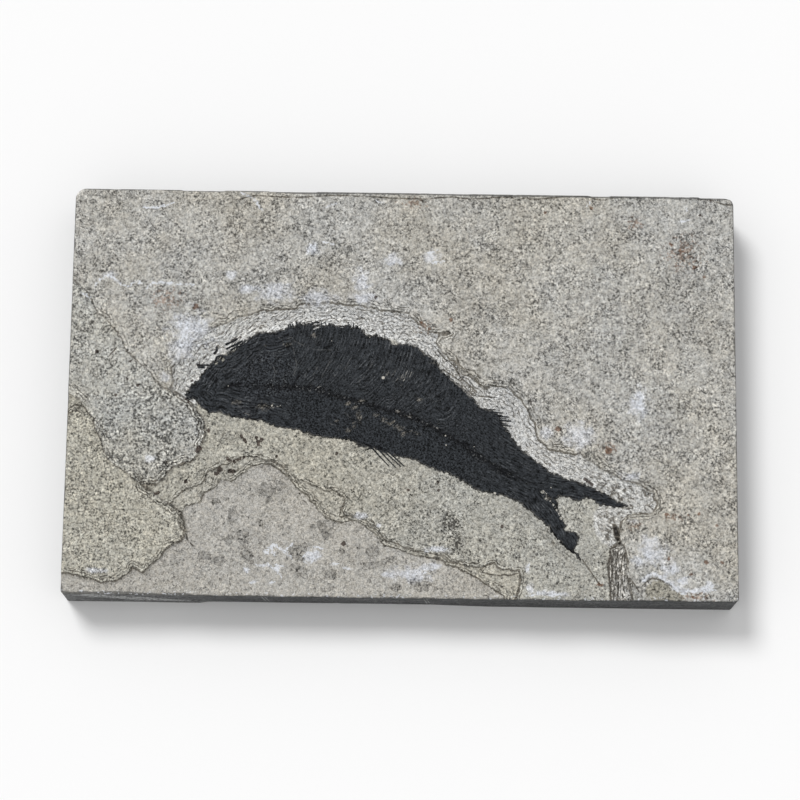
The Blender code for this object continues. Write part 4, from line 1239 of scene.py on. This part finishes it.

# %% [markdown]
# A bed breaks back in thin laminae, so a ledge shows as a dark line with fainter lines
# beside it and pale strips between. The dark lines are painted shadow at the foot of each
# step, and the pale lip and strips are painted highlight on the lit edges. All of them follow
# the distance to the ledge.

# %% Break line group


def break_line_group():
    """Painted shadow lines and painted highlights along a ledge, from the signed distance to it."""
    tree, given, result = new_group(
        "break_line", [("Place", "vector", None), ("Depth", "value", 0.0), ("Width", "value", 0.4),
                       ("Echo", "value", 0.5), ("Reach", "value", 2.6), ("Spacing", "value", 0.9)],
        [("Line", "value"), ("LipHighlight", "value")])
    place = given["Place"]
    slow = grain_of(tree, place, 3.6, 2.0, 0.5, 8.0)
    quick = grain_of(tree, place, 0.9, 3.0, 0.6, 9.0)
    tiny = grain_of(tree, place, 0.6, 2.0, 0.5, 10.0)
    depth = nudged(tree, nudged(tree, nudged(tree, given["Depth"], 0.6, slow), 1.0, quick), 0.4, tiny)
    off = maths(tree, "DIVIDE", maths(tree, "ABSOLUTE", maths(tree, "SUBTRACT", depth, 0.12)), given["Width"])
    patchy = smooth_step(tree, grain_of(tree, place, 3.4, 2.0, 0.5, 5.0), 0.36, 0.56)
    line = product(tree, falling_step(tree, off, 0.2, 1.0), maths(tree, "MULTIPLY_ADD", patchy, 0.5, 0.5))
    folded = nudged(tree, nudged(tree, nudged(tree, given["Depth"], 2.4, slow), 1.3, quick), 0.5, tiny)
    half = maths(tree, "MULTIPLY", given["Spacing"], 0.5)
    fold = maths(tree, "PINGPONG", folded, half)
    past = maths(tree, "ADD", given["Depth"], given["Reach"])
    near = product(tree, smooth_step(tree, nudged(tree, past, 2.4, slow), 0.0, 0.5),
                   falling_step(tree, given["Depth"], 0.0, 0.5), given["Echo"])
    strong = smooth_step(tree, grain_of(tree, place, 2.4, 2.0, 0.5, 6.0), 0.36, 0.58)
    echo = product(tree, falling_step(tree, fold, 0.03, 0.2), near, strong)
    tree.links.new(maths(tree, "MAXIMUM", line, echo), result["Line"])
    between = smooth_step(tree, maths(tree, "SUBTRACT", half, fold), 0.16, 0.03)
    # Painted highlight: a pale band on the ledge's upper edge, and pale strips between its lines.
    lip_highlight = product(tree, smooth_step(tree, depth, -0.75, -0.45), falling_step(tree, depth, -0.4, -0.1), patchy)
    tree.links.new(maths(tree, "MAXIMUM", lip_highlight, product(tree, between, near)), result["LipHighlight"])
    return tree


BREAK_LINE = break_line_group()

# %% Stroke group


def stroke_group():
    """A thin wandering line along drawn strokes."""
    tree, given, result = new_group(
        "stroke", [("Place", "vector", None), ("Signed", "value", 0.0), ("Gap", "value", 0.0),
                   ("Width", "value", 0.3), ("Wander", "value", 0.5)],
        [("Line", "value")])
    place = given["Place"]
    push = maths(tree, "SUBTRACT", grain_of(tree, place, 0.9, 3.0, 0.6, 11.0), 0.5)
    off = maths(tree, "ABSOLUTE", maths(tree, "MULTIPLY_ADD", push, given["Wander"], given["Signed"]))
    line = falling_step(tree, maths(tree, "DIVIDE", off, given["Width"]), 0.25, 1.0)
    patchy = smooth_step(tree, grain_of(tree, place, 1.7, 2.0, 0.5, 12.0), 0.34, 0.52)
    near = falling_step(tree, given["Gap"], 0.45, 0.9)
    tree.links.new(product(tree, line, near, maths(tree, "MULTIPLY_ADD", patchy, 0.65, 0.35)), result["Line"])
    return tree


STROKE = stroke_group()

# %% Contour group


def contour_group():
    """A distance folded into thin parallel lines that wander and break off."""
    tree, given, result = new_group(
        "contour", [("Place", "vector", None), ("Distance", "value", 0.0), ("Spacing", "value", 1.0),
                    ("Wander", "value", 1.0), ("Width", "value", 0.2)],
        [("Line", "value")])
    place = given["Place"]
    push = maths(tree, "SUBTRACT", grain_of(tree, place, 2.4, 3.0, 0.6, 14.0), 0.5)
    distance = maths(tree, "MULTIPLY_ADD", push, given["Wander"], given["Distance"])
    fold = maths(tree, "PINGPONG", distance, maths(tree, "MULTIPLY", given["Spacing"], 0.5))
    line = falling_step(tree, maths(tree, "DIVIDE", fold, given["Width"]), 0.15, 1.0)
    broken = smooth_step(tree, grain_of(tree, place, 1.8, 2.0, 0.5, 15.0), 0.38, 0.58)
    tree.links.new(product(tree, line, broken), result["Line"])
    return tree


CONTOUR = contour_group()
print("groups", [group.name for group in bpy.data.node_groups])

# %% [markdown]
# ### The split face
# Each bed has its own grey and its own grain. Ledges are darkened at their foot by a painted
# shadow, and their upper edges get a painted highlight. A ledge is hidden where a later field
# has cut it away.

# %% Colours of the face
TOP_GREY = (0.386, 0.377, 0.350, 1)
LEFT_GREY = (0.382, 0.379, 0.352, 1)
LEFT_DARK = (0.335, 0.333, 0.312, 1)
CORNER_OLIVE = (0.38, 0.367, 0.318, 1)
BASIN_CREAM = (0.37, 0.357, 0.31, 1)
BASIN_GREY = (0.358, 0.352, 0.318, 1)
HALO_CREAM = (0.545, 0.545, 0.53, 1)
HALO_WHITE = (0.68, 0.68, 0.66, 1)
STEP_CREAM = (0.382, 0.368, 0.322, 1)
PANEL_PINK = (0.405, 0.39, 0.357, 1)
STRIP_GREY = (0.5, 0.485, 0.45, 1)
# painted shadow along ledges and laminae, also the dark of the cracks
SHADOW_AND_CRACK_BROWN = (0.13, 0.118, 0.098, 1)
# painted highlight on the lit upper edges of the ledges
LIP_HIGHLIGHT_CREAM = (0.56, 0.545, 0.485, 1)
CRUST_WHITE = (0.575, 0.59, 0.625, 1)
OLIVE_GREY = (0.285, 0.27, 0.225, 1)
CHALK_WHITE = (0.72, 0.745, 0.79, 1)
RUST_BROWN = (0.15, 0.082, 0.05, 1)
STAIN_BROWN = (0.2, 0.14, 0.105, 1)
# black of the soot dendrites, also painted shade in the groove and in the strip's lines
SOOT_AND_SHADE_BLACK = (0.028, 0.025, 0.022, 1)
SOOT_BROWN = (0.04, 0.026, 0.021, 1)
# painted shade along the rounded rim of the face
RIM_SHADE_GREY = (0.1, 0.1, 0.096, 1)
GRAIN_CONTRASTS = {"left": 1.0, "strip": 1.2, "corner": 0.88, "basin": 0.74, "step": 0.64, "panel": 0.4}
LEDGES = {                # width, echo, reach, spacing, strength
    "left": (0.34, 1.0, 2.0, 0.95, 0.78), "strip": (0.5, 0.5, 1.6, 0.9, 1.0),
    "corner": (0.28, 1.1, 3.0, 0.95, 0.85), "basin": (0.38, 1.0, 2.2, 0.85, 0.95),
    "step": (0.27, 1.0, 1.5, 0.75, 1.0), "panel": (0.28, 0.9, 1.8, 0.72, 1.0),
    "groove": (0.5, 0.0, 1.0, 1.0, 1.0)}


def ledge_shadows_and_highlights(tree, place, depth):
    """Painted shadow lines and painted highlights on the upper edges of all ledges, earlier ones hidden by later
    fields.
    """
    lines, lip_highlights = 0.0, 0.0
    for name, (width, echo, reach, spacing, strength) in LEDGES.items():
        if name == "basin":
            echo = maths(tree, "MULTIPLY_ADD", smooth_step(tree, depth["left"], 0.0, 1.0), 0.6, echo)
        edge = use_group(tree, BREAK_LINE, Place=place, Depth=depth[name], Width=width, Echo=echo,
                         Reach=reach, Spacing=spacing)
        shown = falling_step(tree, depth[name], 0.1, 0.7)
        lines = maths(tree, "MAXIMUM", product(tree, edge["Line"], strength),
                      maths(tree, "MULTIPLY", shown, lines))
        lip_highlights = maths(tree, "MAXIMUM", edge["LipHighlight"], maths(tree, "MULTIPLY", shown, lip_highlights))
    return lines, lip_highlights


def bed_colour(tree, share, halo, along, fish):
    left = mixed(tree, smooth_step(tree, along, -82.0, -66.0), LEFT_GREY, LEFT_DARK)
    colour = mixed(tree, share["left"], TOP_GREY, left)
    colour = mixed(tree, share["strip"], colour, STRIP_GREY)
    colour = mixed(tree, share["corner"], colour, CORNER_OLIVE)
    basin = mixed(tree, smooth_step(tree, along, -25.0, 20.0), BASIN_CREAM, BASIN_GREY)
    colour = mixed(tree, share["basin"], colour, basin)
    pale = mixed(tree, product(tree, smooth_step(tree, fish, -3.4, -0.6), falling_step(tree, along, -8.0, 6.0)),
                 HALO_CREAM, HALO_WHITE)
    colour = mixed(tree, halo, colour, pale)
    colour = mixed(tree, share["step"], colour, STEP_CREAM)
    return mixed(tree, share["panel"], colour, PANEL_PINK)


def stained(tree, place, depth, crust, colour):
    """Crusts, chalk, rust and soot laid over the stone's own colour."""
    specks = grain_of(tree, place, 0.75, 2.0, 0.5, 22.0)
    tiny = grain_of(tree, place, 0.52, 2.0, 0.5, 23.0)
    colour = mixed(tree, maths(tree, "MULTIPLY", crust, 0.78), colour, CRUST_WHITE)
    olive = smooth_step(tree, nudged(tree, depth["olive"], 0.9, specks), 0.0, 0.12)
    colour = mixed(tree, maths(tree, "MULTIPLY", olive, 0.9), colour, OLIVE_GREY)
    brown = smooth_step(tree, nudged(tree, depth["brown"], 4.5, specks), 0.35, 1.0)
    colour = mixed(tree, maths(tree, "MULTIPLY", brown, 0.7), colour, STAIN_BROWN)
    rust = smooth_step(tree, nudged(tree, depth["rust"], 1.5, specks), -0.2, 0.15)
    colour = mixed(tree, maths(tree, "MULTIPLY", rust, 0.8), colour, RUST_BROWN)
    sooty = smooth_step(tree, maths(tree, "MULTIPLY_ADD", depth["sooty"], 0.16, tiny), 0.55, 0.6)
    soot = smooth_step(tree, nudged(tree, depth["soot"], 1.1, specks), -0.16, -0.02)
    colour = mixed(tree, maths(tree, "MULTIPLY", soot, 0.88), colour, SOOT_BROWN)
    return mixed(tree, maths(tree, "MULTIPLY", sooty, 0.85), colour, SOOT_AND_SHADE_BLACK)


def face_finish():
    finish, tree, shader = new_finish("split_face")
    place = place_in_mm(tree)
    depth = {name: painted(tree, name) for name in CARRIED}
    depth.update({name: painted_dot(tree, name) for name in ("rust", "soot")})
    split_x, split_y, _ = parts_of(tree, place)
    share = {name: smooth_step(tree, depth[name], 0.0, 0.3) for name in FIELDS}
    rim = nudged(tree, depth["halo"], 0.5, grain_of(tree, place, 2.0))
    halo = smooth_step(tree, rim, 0.2, 0.7)
    contrast = 0.84
    for name, value in GRAIN_CONTRASTS.items():
        if name == "left":
            value = mixed_value(tree, smooth_step(tree, split_x, -82.0, -66.0), 0.95, 1.35)
        contrast = mixed_value(tree, share[name], contrast, value)
    sunk = nudged(tree, depth["hollow"], 3.0, grain_of(tree, place, 1.5, 3.0))
    hollow = smooth_step(tree, sunk, 0.02, 0.1)
    contrast = maths(tree, "MULTIPLY_ADD", hollow, 0.3, contrast)
    lumps = grain_of(tree, place, 1.9, 3.0, 0.55, 21.0)
    crust = smooth_step(tree, nudged(tree, depth["crust"], 2.6, lumps), -0.2, 0.75)
    contrast = product(tree, contrast, maths(tree, "MULTIPLY_ADD", crust, -0.3, 1.0))
    net = mixed_value(tree, share["left"], 0.1, 0.2)
    net = mixed_value(tree, maths(tree, "MAXIMUM", share["basin"], share["corner"]), net, 0.08)
    low = maths(tree, "MAXIMUM", maths(tree, "MAXIMUM", share["basin"], share["panel"]), share["corner"])
    wide = mixed_value(tree, low, 1.0, 0.4)
    specks = mixed_value(tree, low, 0.6, 2.1)
    grain = use_group(tree, STONE_GRAIN, Place=place, Contrast=contrast, Net=net, Wide=wide, Specks=specks)
    on_back = product(tree, smooth_step(tree, split_x, -55.0, -48.0), falling_step(tree, split_x, 26.0, 36.0))
    streaks = streaked(tree, maths(tree, "MULTIPLY_ADD", split_y, -0.35, split_x), depth["fish"], 1.8, 0.5, 3.0, 31.0)
    slant = maths(tree, "ADD", maths(tree, "MULTIPLY", split_x, 0.56), maths(tree, "MULTIPLY", split_y, 0.83))
    beside = streaked(tree, maths(tree, "SUBTRACT", split_x, split_y), slant, 2.6, 0.56, 3.0, 42.0)
    on_tail = smooth_step(tree, split_x, 30.0, 40.0)
    other = mixed_value(tree, on_tail, grain_of(tree, place, 0.66, 3.0, 0.6, 32.0, 0.6), beside)
    scraped = mixed_value(tree, on_back, other, streaks)
    swing = mixed_value(tree, on_back, 5.2, 5.6)
    scraped = maths(tree, "MULTIPLY_ADD", maths(tree, "SUBTRACT", scraped, 0.5), swing, 1.24)
    drawn = streaked(tree, maths(tree, "MULTIPLY_ADD", split_y, -0.35, split_x), depth["fish"], 1.8, 0.9, 2.0, 41.0)
    drawn = mixed_value(tree, on_back, grain_of(tree, place, 1.1, 2.0, 0.5, 38.0, 1.0), drawn)
    curl = falling_step(tree, maths(tree, "ABSOLUTE", maths(tree, "SUBTRACT", drawn, 0.5)), 0.01, 0.05)
    scraped = maths(tree, "MULTIPLY_ADD", curl, mixed_value(tree, on_tail, -0.46, -0.3), scraped)
    combed = streaked(tree, split_y, split_x, 1.2, 0.55, 3.0, 35.0)
    combed = maths(tree, "MULTIPLY_ADD", maths(tree, "SUBTRACT", combed, 0.5), 5.5, 1.1)
    wriggle = grain_of(tree, place, 1.0, 2.0, 0.5, 43.0)
    shade = mixed_value(tree, maths(tree, "MULTIPLY", depth["terraced"], 0.75), grain["Shade"], scraped)
    grit = grain_of(tree, place, 0.34, 1.0, 0.5, 39.0)
    shade = nudged(tree, shade, maths(tree, "MULTIPLY", low, 1.6), grit)
    in_strip = product(tree, share["strip"], maths(tree, "SUBTRACT", 1.0, share["basin"]))
    shade = mixed_value(tree, maths(tree, "MULTIPLY", in_strip, 0.7), shade, combed)
    shade = product(tree, shade, maths(tree, "MULTIPLY_ADD", hollow, -0.3, 1.0))
    # Painted shadow: a thin dark line just inside the border of each hollow on the panel.
    hollow_rim_shadow = product(tree, hollow, falling_step(tree, sunk, 0.12, 0.24), share["panel"])
    lines, lip_highlights = ledge_shadows_and_highlights(tree, place, depth)
    terrace = use_group(tree, CONTOUR, Place=place, Distance=depth["fish"], Spacing=1.25, Wander=3.6,
                        Width=0.24)
    before_tip = falling_step(tree, split_x, 58.0, 63.0)
    lines = maths(tree, "MAXIMUM", lines, product(tree, terrace["Line"], depth["terraced"], before_tip, 0.85))
    tip = use_group(tree, CONTOUR, Place=place, Distance=depth["halo"], Spacing=0.95, Wander=3.0, Width=0.24)
    at_tip = smooth_step(tree, split_x, 52.0, 58.0)
    lines = maths(tree, "MAXIMUM", lines, product(tree, tip["Line"], depth["terraced"], at_tip, 0.9))
    pleats = use_group(tree, CONTOUR, Place=place, Distance=nudged(tree, split_x, 3.4, wriggle), Spacing=1.05,
                       Wander=2.6, Width=0.26)
    lines = maths(tree, "MAXIMUM", lines, product(tree, pleats["Line"], in_strip, 0.9))
    # Dark strokes of the cracks and of painted ledge shadow.
    crack_and_shadow = use_group(tree, STROKE, Place=place, Signed=depth["crack_and_shadow"], Gap=depth["crack_and_shadow_gap"])["Line"]
    lines = maths(tree, "MAXIMUM", lines, maths(tree, "MAXIMUM", crack_and_shadow, maths(tree, "MULTIPLY", hollow_rim_shadow, 0.3)))
    colour = bed_colour(tree, share, halo, split_x, depth["fish"])
    # Painted highlight on the upper edges of the ledges.
    colour = mixed(tree, maths(tree, "MULTIPLY", lip_highlights, 0.3), colour, LIP_HIGHLIGHT_CREAM)
    # The dark lines: painted shadow along ledges and laminae, with the cracks and the scraped lines.
    colour = mixed(tree, lines, colour, SHADOW_AND_CRACK_BROWN)
    # Painted shadow darkens the strip's lines further.
    colour = mixed(tree, product(tree, lines, in_strip, 0.55), colour, SOOT_AND_SHADE_BLACK)
    # Painted shade fills the groove, a near-black wedge.
    groove = smooth_step(tree, nudged(tree, depth["groove"], 0.9, grain_of(tree, place, 0.8)), -0.12, 0.1)
    colour = mixed(tree, maths(tree, "MULTIPLY", groove, 0.9), colour, SOOT_AND_SHADE_BLACK)
    colour = stained(tree, place, depth, crust, colour)
    tinted = tree.nodes.new("ShaderNodeVectorMath")
    tinted.operation = "MULTIPLY"
    feed(tree, tinted.inputs[0], toned(tree, colour, shade))
    feed(tree, tinted.inputs[1], grain["Tint"])
    chalk = use_group(tree, STROKE, Place=place, Signed=depth["chalk"], Gap=depth["chalk_gap"], Width=0.44,
                      Wander=2.2)
    flaky = smooth_step(tree, grain_of(tree, place, 0.7, 2.0, 0.5, 37.0), 0.36, 0.5)
    colour = mixed(tree, product(tree, chalk["Line"], flaky, 0.9), tinted.outputs[0], CHALK_WHITE)
    # Painted shade along the face's rounded rim, wider along the back edge and at the front's left end.
    at_back = product(tree, smooth_step(tree, split_y, HALF_WIDTH - 3, HALF_WIDTH - 2),
                      mixed_value(tree, smooth_step(tree, split_x, -40.0, -32.0), 0.1, 0.45))
    painted_light_share = product(tree, falling_step(tree, split_y, 2 - HALF_WIDTH, 3 - HALF_WIDTH),
                     falling_step(tree, split_x, -62.0, -56.0), 0.45)
    rim_shade_gap = maths(tree, "SUBTRACT", depth["edge"], maths(tree, "ADD", at_back, painted_light_share))
    rim_shade = falling_step(tree, nudged(tree, rim_shade_gap, 1.6, grain_of(tree, place, 4.0, 4.0, 0.7)), 0.05, 0.35)
    colour = mixed(tree, maths(tree, "MULTIPLY", rim_shade, 0.8), colour, RIM_SHADE_GREY)
    at_front = falling_step(tree, split_y, 0.9 - HALF_WIDTH, 1.3 - HALF_WIDTH)
    chip = product(tree, at_front, smooth_step(tree, grain_of(tree, place, 0.8, 2.0, 0.5, 36.0), 0.58, 0.66))
    colour = mixed(tree, maths(tree, "MULTIPLY", chip, 0.7), colour, CHALK_WHITE)
    tree.links.new(colour, shader.inputs["Base Color"])
    shader.inputs["Roughness"].default_value = 0.9
    shader.inputs["Specular IOR Level"].default_value = 0.2
    height = mixed_value(tree, depth["terraced"], grain["Height"], scraped)
    height = maths(tree, "MULTIPLY_ADD", lines, -1.1, height)
    bumped(tree, shader, height, 0.2)
    return finish


# %% [markdown]
# ### The sawn sides
# The saw left fine level lines. The sides' dark grey is partly painted shade. The front's
# paler left end and the bright bands across it are painted highlights, and two pairs of pale
# scratches cross the front. The underside was never seen to: it is plain sawn stone.

# %% Side finish
# dark grey of the sawn sides, partly painted shade
SIDE_GREY_AND_SHADE = (0.058, 0.06, 0.061, 1)
# paler grey: painted highlight at the front's left end, random pale patches and the scratches
SIDE_PALE_AND_HIGHLIGHT = (0.2, 0.203, 0.2, 1)
# painted highlight of the bright bands across the front
SIDE_GLEAM = (0.33, 0.335, 0.33, 1)
SIDE_DARK = (0.03, 0.03, 0.031, 1)
UNDER_GREY = (0.17, 0.17, 0.162, 1)
SCRATCHES = [(-38.2, 0.25), (-37.3, 0.2), (7.4, 0.25), (8.2, 0.2)]
GLEAMS = [                # start x and height, end x and height, width
    (-93, 12.6, -52, 1.8, 2.0), (-91, 14, -74, 9.4, 0.9), (-84, 7.4, -60, 2.6, 1), (-70, 5.4, -42, 1.6, 0.6)]


def side_finish():
    finish, tree, shader = new_finish("sawn_side")
    place = place_in_mm(tree)
    x, y, z = parts_of(tree, place)
    round_about = maths(tree, "ADD", x, y)
    saw = streaked(tree, round_about, z, 16.0, 0.5, 3.0, 41.0)
    wide = grain_of(tree, place, 26.0, 3.0, 0.55, 42.0)
    # Painted highlight toward the front's left end, with random pale patches.
    highlit_end = falling_step(tree, nudged(tree, x, 30.0, wide), -80.0, -45.0)
    pale = maths(tree, "MAXIMUM", product(tree, highlit_end, 0.8), smooth_step(tree, wide, 0.55, 0.75))
    colour = mixed(tree, product(tree, pale, 0.5), SIDE_GREY_AND_SHADE, SIDE_PALE_AND_HIGHLIGHT)
    scratch = 0.0
    for spot, width in SCRATCHES:
        off = maths(tree, "ABSOLUTE", maths(tree, "SUBTRACT", maths(tree, "MULTIPLY_ADD", z, 0.12, x), spot + 1))
        scratch = maths(tree, "MAXIMUM", scratch, falling_step(tree, off, 0.3 * width, width))
    front = falling_step(tree, y, 1.5 - HALF_WIDTH, 2 - HALF_WIDTH)
    colour = mixed(tree, product(tree, scratch, front, 0.8), colour, SIDE_PALE_AND_HIGHLIGHT)
    # Painted highlights: bright bands across the front, broken up along the saw lines.
    painted_light_share = mixed_value(tree, smooth_step(tree, saw, 0.4, 0.56), 0.55, 0.95)
    for start_x, start_z, end_x, end_z, width in GLEAMS:
        slope = (end_z - start_z) / (end_x - start_x)
        level = maths(tree, "MULTIPLY_ADD", x, slope, start_z - start_x * slope)
        off = maths(tree, "ABSOLUTE", maths(tree, "SUBTRACT", z, level))
        within = product(tree, smooth_step(tree, x, start_x, start_x + 8), falling_step(tree, x, end_x - 18, end_x))
        gleam = product(tree, falling_step(tree, off, 0.2 * width, 1.6 * width), within, front, painted_light_share)
        colour = mixed(tree, gleam, colour, SIDE_GLEAM)
    top_dark = smooth_step(tree, nudged(tree, z, 1.2, grain_of(tree, place, 2.0)), 13.2, 14.4)
    colour = mixed(tree, product(tree, top_dark, 0.85), colour, SIDE_DARK)
    colour = mixed(tree, falling_step(tree, z, 0.15, 0.4), colour, UNDER_GREY)
    grain = use_group(tree, STONE_GRAIN, Place=place, Contrast=1.0, Specks=0.5)
    shade = maths(tree, "MULTIPLY", grain["Shade"], nudged(tree, 0.97, 4.0, saw))
    tree.links.new(toned(tree, colour, shade), shader.inputs["Base Color"])
    shader.inputs["Roughness"].default_value = 0.72
    shader.inputs["Specular IOR Level"].default_value = 0.3
    bumped(tree, shader, maths(tree, "ADD", grain["Height"], maths(tree, "MULTIPLY", saw, 2.0)), 0.08)
    return finish


stone.data.materials.append(face_finish())
stone.data.materials.append(side_finish())

# %% [markdown]
# ### The film
# Carbonised bone is black with a faint sheen. Its fine grey lines follow the fish: folds
# parallel to the snout and rings round the cheek, ribs on the back, streaks in the tail.

# %% Film finish
FILM_BLACK = (0.0232, 0.0258, 0.0292, 1)
FILM_LINE = (0.09, 0.095, 0.1, 1)
FILM_DEEP = (0.004, 0.004, 0.005, 1)
FILM_TAN = (0.13, 0.121, 0.105, 1)
SEAM_PALE = (0.11, 0.112, 0.11, 1)
FLECK_WHITE = (0.3, 0.29, 0.27, 1)
FILM_PALE = (0.5, 0.48, 0.43, 1)
GLINT_GREY = (0.12, 0.121, 0.12, 1)
WAY_NAMES = ("across", "along", "depth", "round", "below", "rib", "cheek", "turn", "ribbed", "headed",
             "tailed", "tan", "fold", "fold_gap", "glint", "glint_gap", "fleck", "fleck_gap")


def inner_head(tree, way):
    """1 over the cheek, where rings take over from the folds of the snout."""
    return smooth_step(tree, maths(tree, "SUBTRACT", way["depth"], way["cheek"]), -2.5, 0.5)


def film_lines(tree, place, way):
    """The grey lines of each part of the fish, joined into one mask."""
    contours = {}
    for name, distance, spacing, wander, width in (
            ("snout", way["depth"], 0.95, 4.5, 0.24), ("ring", way["cheek"], 1.1, 7.0, 0.24),
            ("rib", maths(tree, "MULTIPLY", way["rib"], RIB_SPACING), 0.92, 1.0, 0.19),
            ("tail", way["across"], 0.7, 1.6, 0.18)):
        contours[name] = use_group(tree, CONTOUR, Place=place, Distance=distance, Spacing=spacing,
                                   Wander=wander, Width=width)["Line"]
    head = mixed_value(tree, inner_head(tree, way), contours["snout"], contours["ring"])
    streak = streaked(tree, way["below"], maths(tree, "MULTIPLY", way["rib"], RIB_SPACING), 7.0, 0.6, 2.0, 53.0)
    rib = maths(tree, "MAXIMUM", contours["rib"], product(tree, smooth_step(tree, streak, 0.54, 0.7), 0.4))
    lines = product(tree, head, way["headed"], 0.85)
    lines = maths(tree, "MAXIMUM", lines, maths(tree, "MULTIPLY", rib, way["ribbed"]))
    return maths(tree, "MAXIMUM", lines, product(tree, contours["tail"], way["tailed"], 0.85))


def film_grain(tree, place, way):
    """Fine noise that runs with the ribs, the head's folds and the tail's rays."""
    fine = grain_of(tree, place, 0.42, 3.0, 0.65, 61.0, 0.4)
    ribs = streaked(tree, way["below"], maths(tree, "MULTIPLY", way["rib"], RIB_SPACING), 5.0, 0.46, 3.0, 54.0)
    folds = streaked(tree, way["round"], way["depth"], 3.0, 0.5, 3.0, 55.0)
    folds = mixed_value(tree, inner_head(tree, way), folds, fine)
    rays = streaked(tree, way["along"], way["across"], 5.0, 0.5, 3.0, 56.0)
    run = mixed_value(tree, maths(tree, "MULTIPLY", way["ribbed"], 0.6), fine, ribs)
    run = mixed_value(tree, way["headed"], run, folds)
    run = mixed_value(tree, way["tailed"], run, rays)
    return maths(tree, "MULTIPLY_ADD", run, 0.6, maths(tree, "MULTIPLY", fine, 0.4)), ribs


def film_finish():
    finish, tree, shader = new_finish("carbonised_bone")
    place = place_in_mm(tree)
    way = {name: painted(tree, name) for name in WAY_NAMES}
    way["pale"] = painted_dot(tree, "pale")
    fine, ribs = film_grain(tree, place, way)
    lumps = grain_of(tree, place, 1.4, 3.0, 0.6, 62.0)
    lines = film_lines(tree, place, way)
    patchy = mixed_value(tree, smooth_step(tree, grain_of(tree, place, 3.4, 3.0, 0.5, 63.0), 0.38, 0.62), 0.1, 0.9)
    patchy = maths(tree, "MAXIMUM", patchy, maths(tree, "MULTIPLY", way["ribbed"], 0.5))
    shown = mixed_value(tree, way["headed"], 0.9, 1.0)
    colour = mixed(tree, product(tree, lines, patchy, shown), FILM_BLACK, FILM_LINE)
    seam = maths(tree, "ABSOLUTE", nudged(tree, way["across"], 4.0, lumps))
    seam = product(tree, falling_step(tree, seam, 0.35, 1.3), smooth_step(tree, way["along"], -50.0, -34.0),
                   falling_step(tree, way["along"], 52.0, 68.0))
    rough_seam = smooth_step(tree, grain_of(tree, place, 0.62, 3.0, 0.6, 64.0, 0.8), 0.57, 0.65)
    seam_colour = mixed(tree, rough_seam, FILM_DEEP, SEAM_PALE)
    colour = mixed(tree, product(tree, seam, 0.75), colour, seam_colour)
    tan = smooth_step(tree, nudged(tree, way["tan"], 2.6, lumps), 0.1, 0.8)
    colour = mixed(tree, product(tree, tan, smooth_step(tree, ribs, 0.42, 0.56), 0.85), colour, FILM_TAN)
    edge = falling_step(tree, nudged(tree, way["depth"], 0.9, lumps), 0.15, 0.5)
    colour = mixed(tree, product(tree, edge, 0.3), colour, FILM_TAN)
    busy = mixed_value(tree, way["headed"], 9.2, 12.0)
    shade = nudged(tree, nudged(tree, 1.0, busy, fine), 1.2, lumps)
    colour = toned(tree, colour, maths(tree, "MAXIMUM", shade, 0.12))
    fold = use_group(tree, STROKE, Place=place, Signed=way["fold"], Gap=way["fold_gap"], Width=0.55)["Line"]
    colour = mixed(tree, maths(tree, "MULTIPLY", fold, 0.85), colour, FILM_DEEP)
    glint = use_group(tree, STROKE, Place=place, Signed=way["glint"], Gap=way["glint_gap"], Width=0.24,
                      Wander=0.9)["Line"]
    broken = smooth_step(tree, grain_of(tree, place, 0.9, 3.0, 0.6, 66.0), 0.42, 0.58)
    colour = mixed(tree, product(tree, glint, broken, 0.6), colour, GLINT_GREY)
    fleck = use_group(tree, STROKE, Place=place, Signed=way["fleck"], Gap=way["fleck_gap"], Width=0.24,
                      Wander=1.2)["Line"]
    flaky = smooth_step(tree, grain_of(tree, place, 0.6, 2.0, 0.5, 65.0), 0.4, 0.56)
    colour = mixed(tree, product(tree, fleck, flaky, 0.8), colour, FLECK_WHITE)
    pale = smooth_step(tree, nudged(tree, way["pale"], 1.2, lumps), 0.0, 0.14)
    colour = mixed(tree, pale, colour, FILM_PALE)
    tree.links.new(colour, shader.inputs["Base Color"])
    shader.inputs["Roughness"].default_value = 0.6
    shader.inputs["Specular IOR Level"].default_value = 0.06
    height = maths(tree, "ADD", fine, maths(tree, "MULTIPLY_ADD", lines, 0.7, maths(tree, "MULTIPLY", fold, -1.0)))
    bumped(tree, shader, height, 0.14)
    return finish


film.data.materials.append(film_finish())
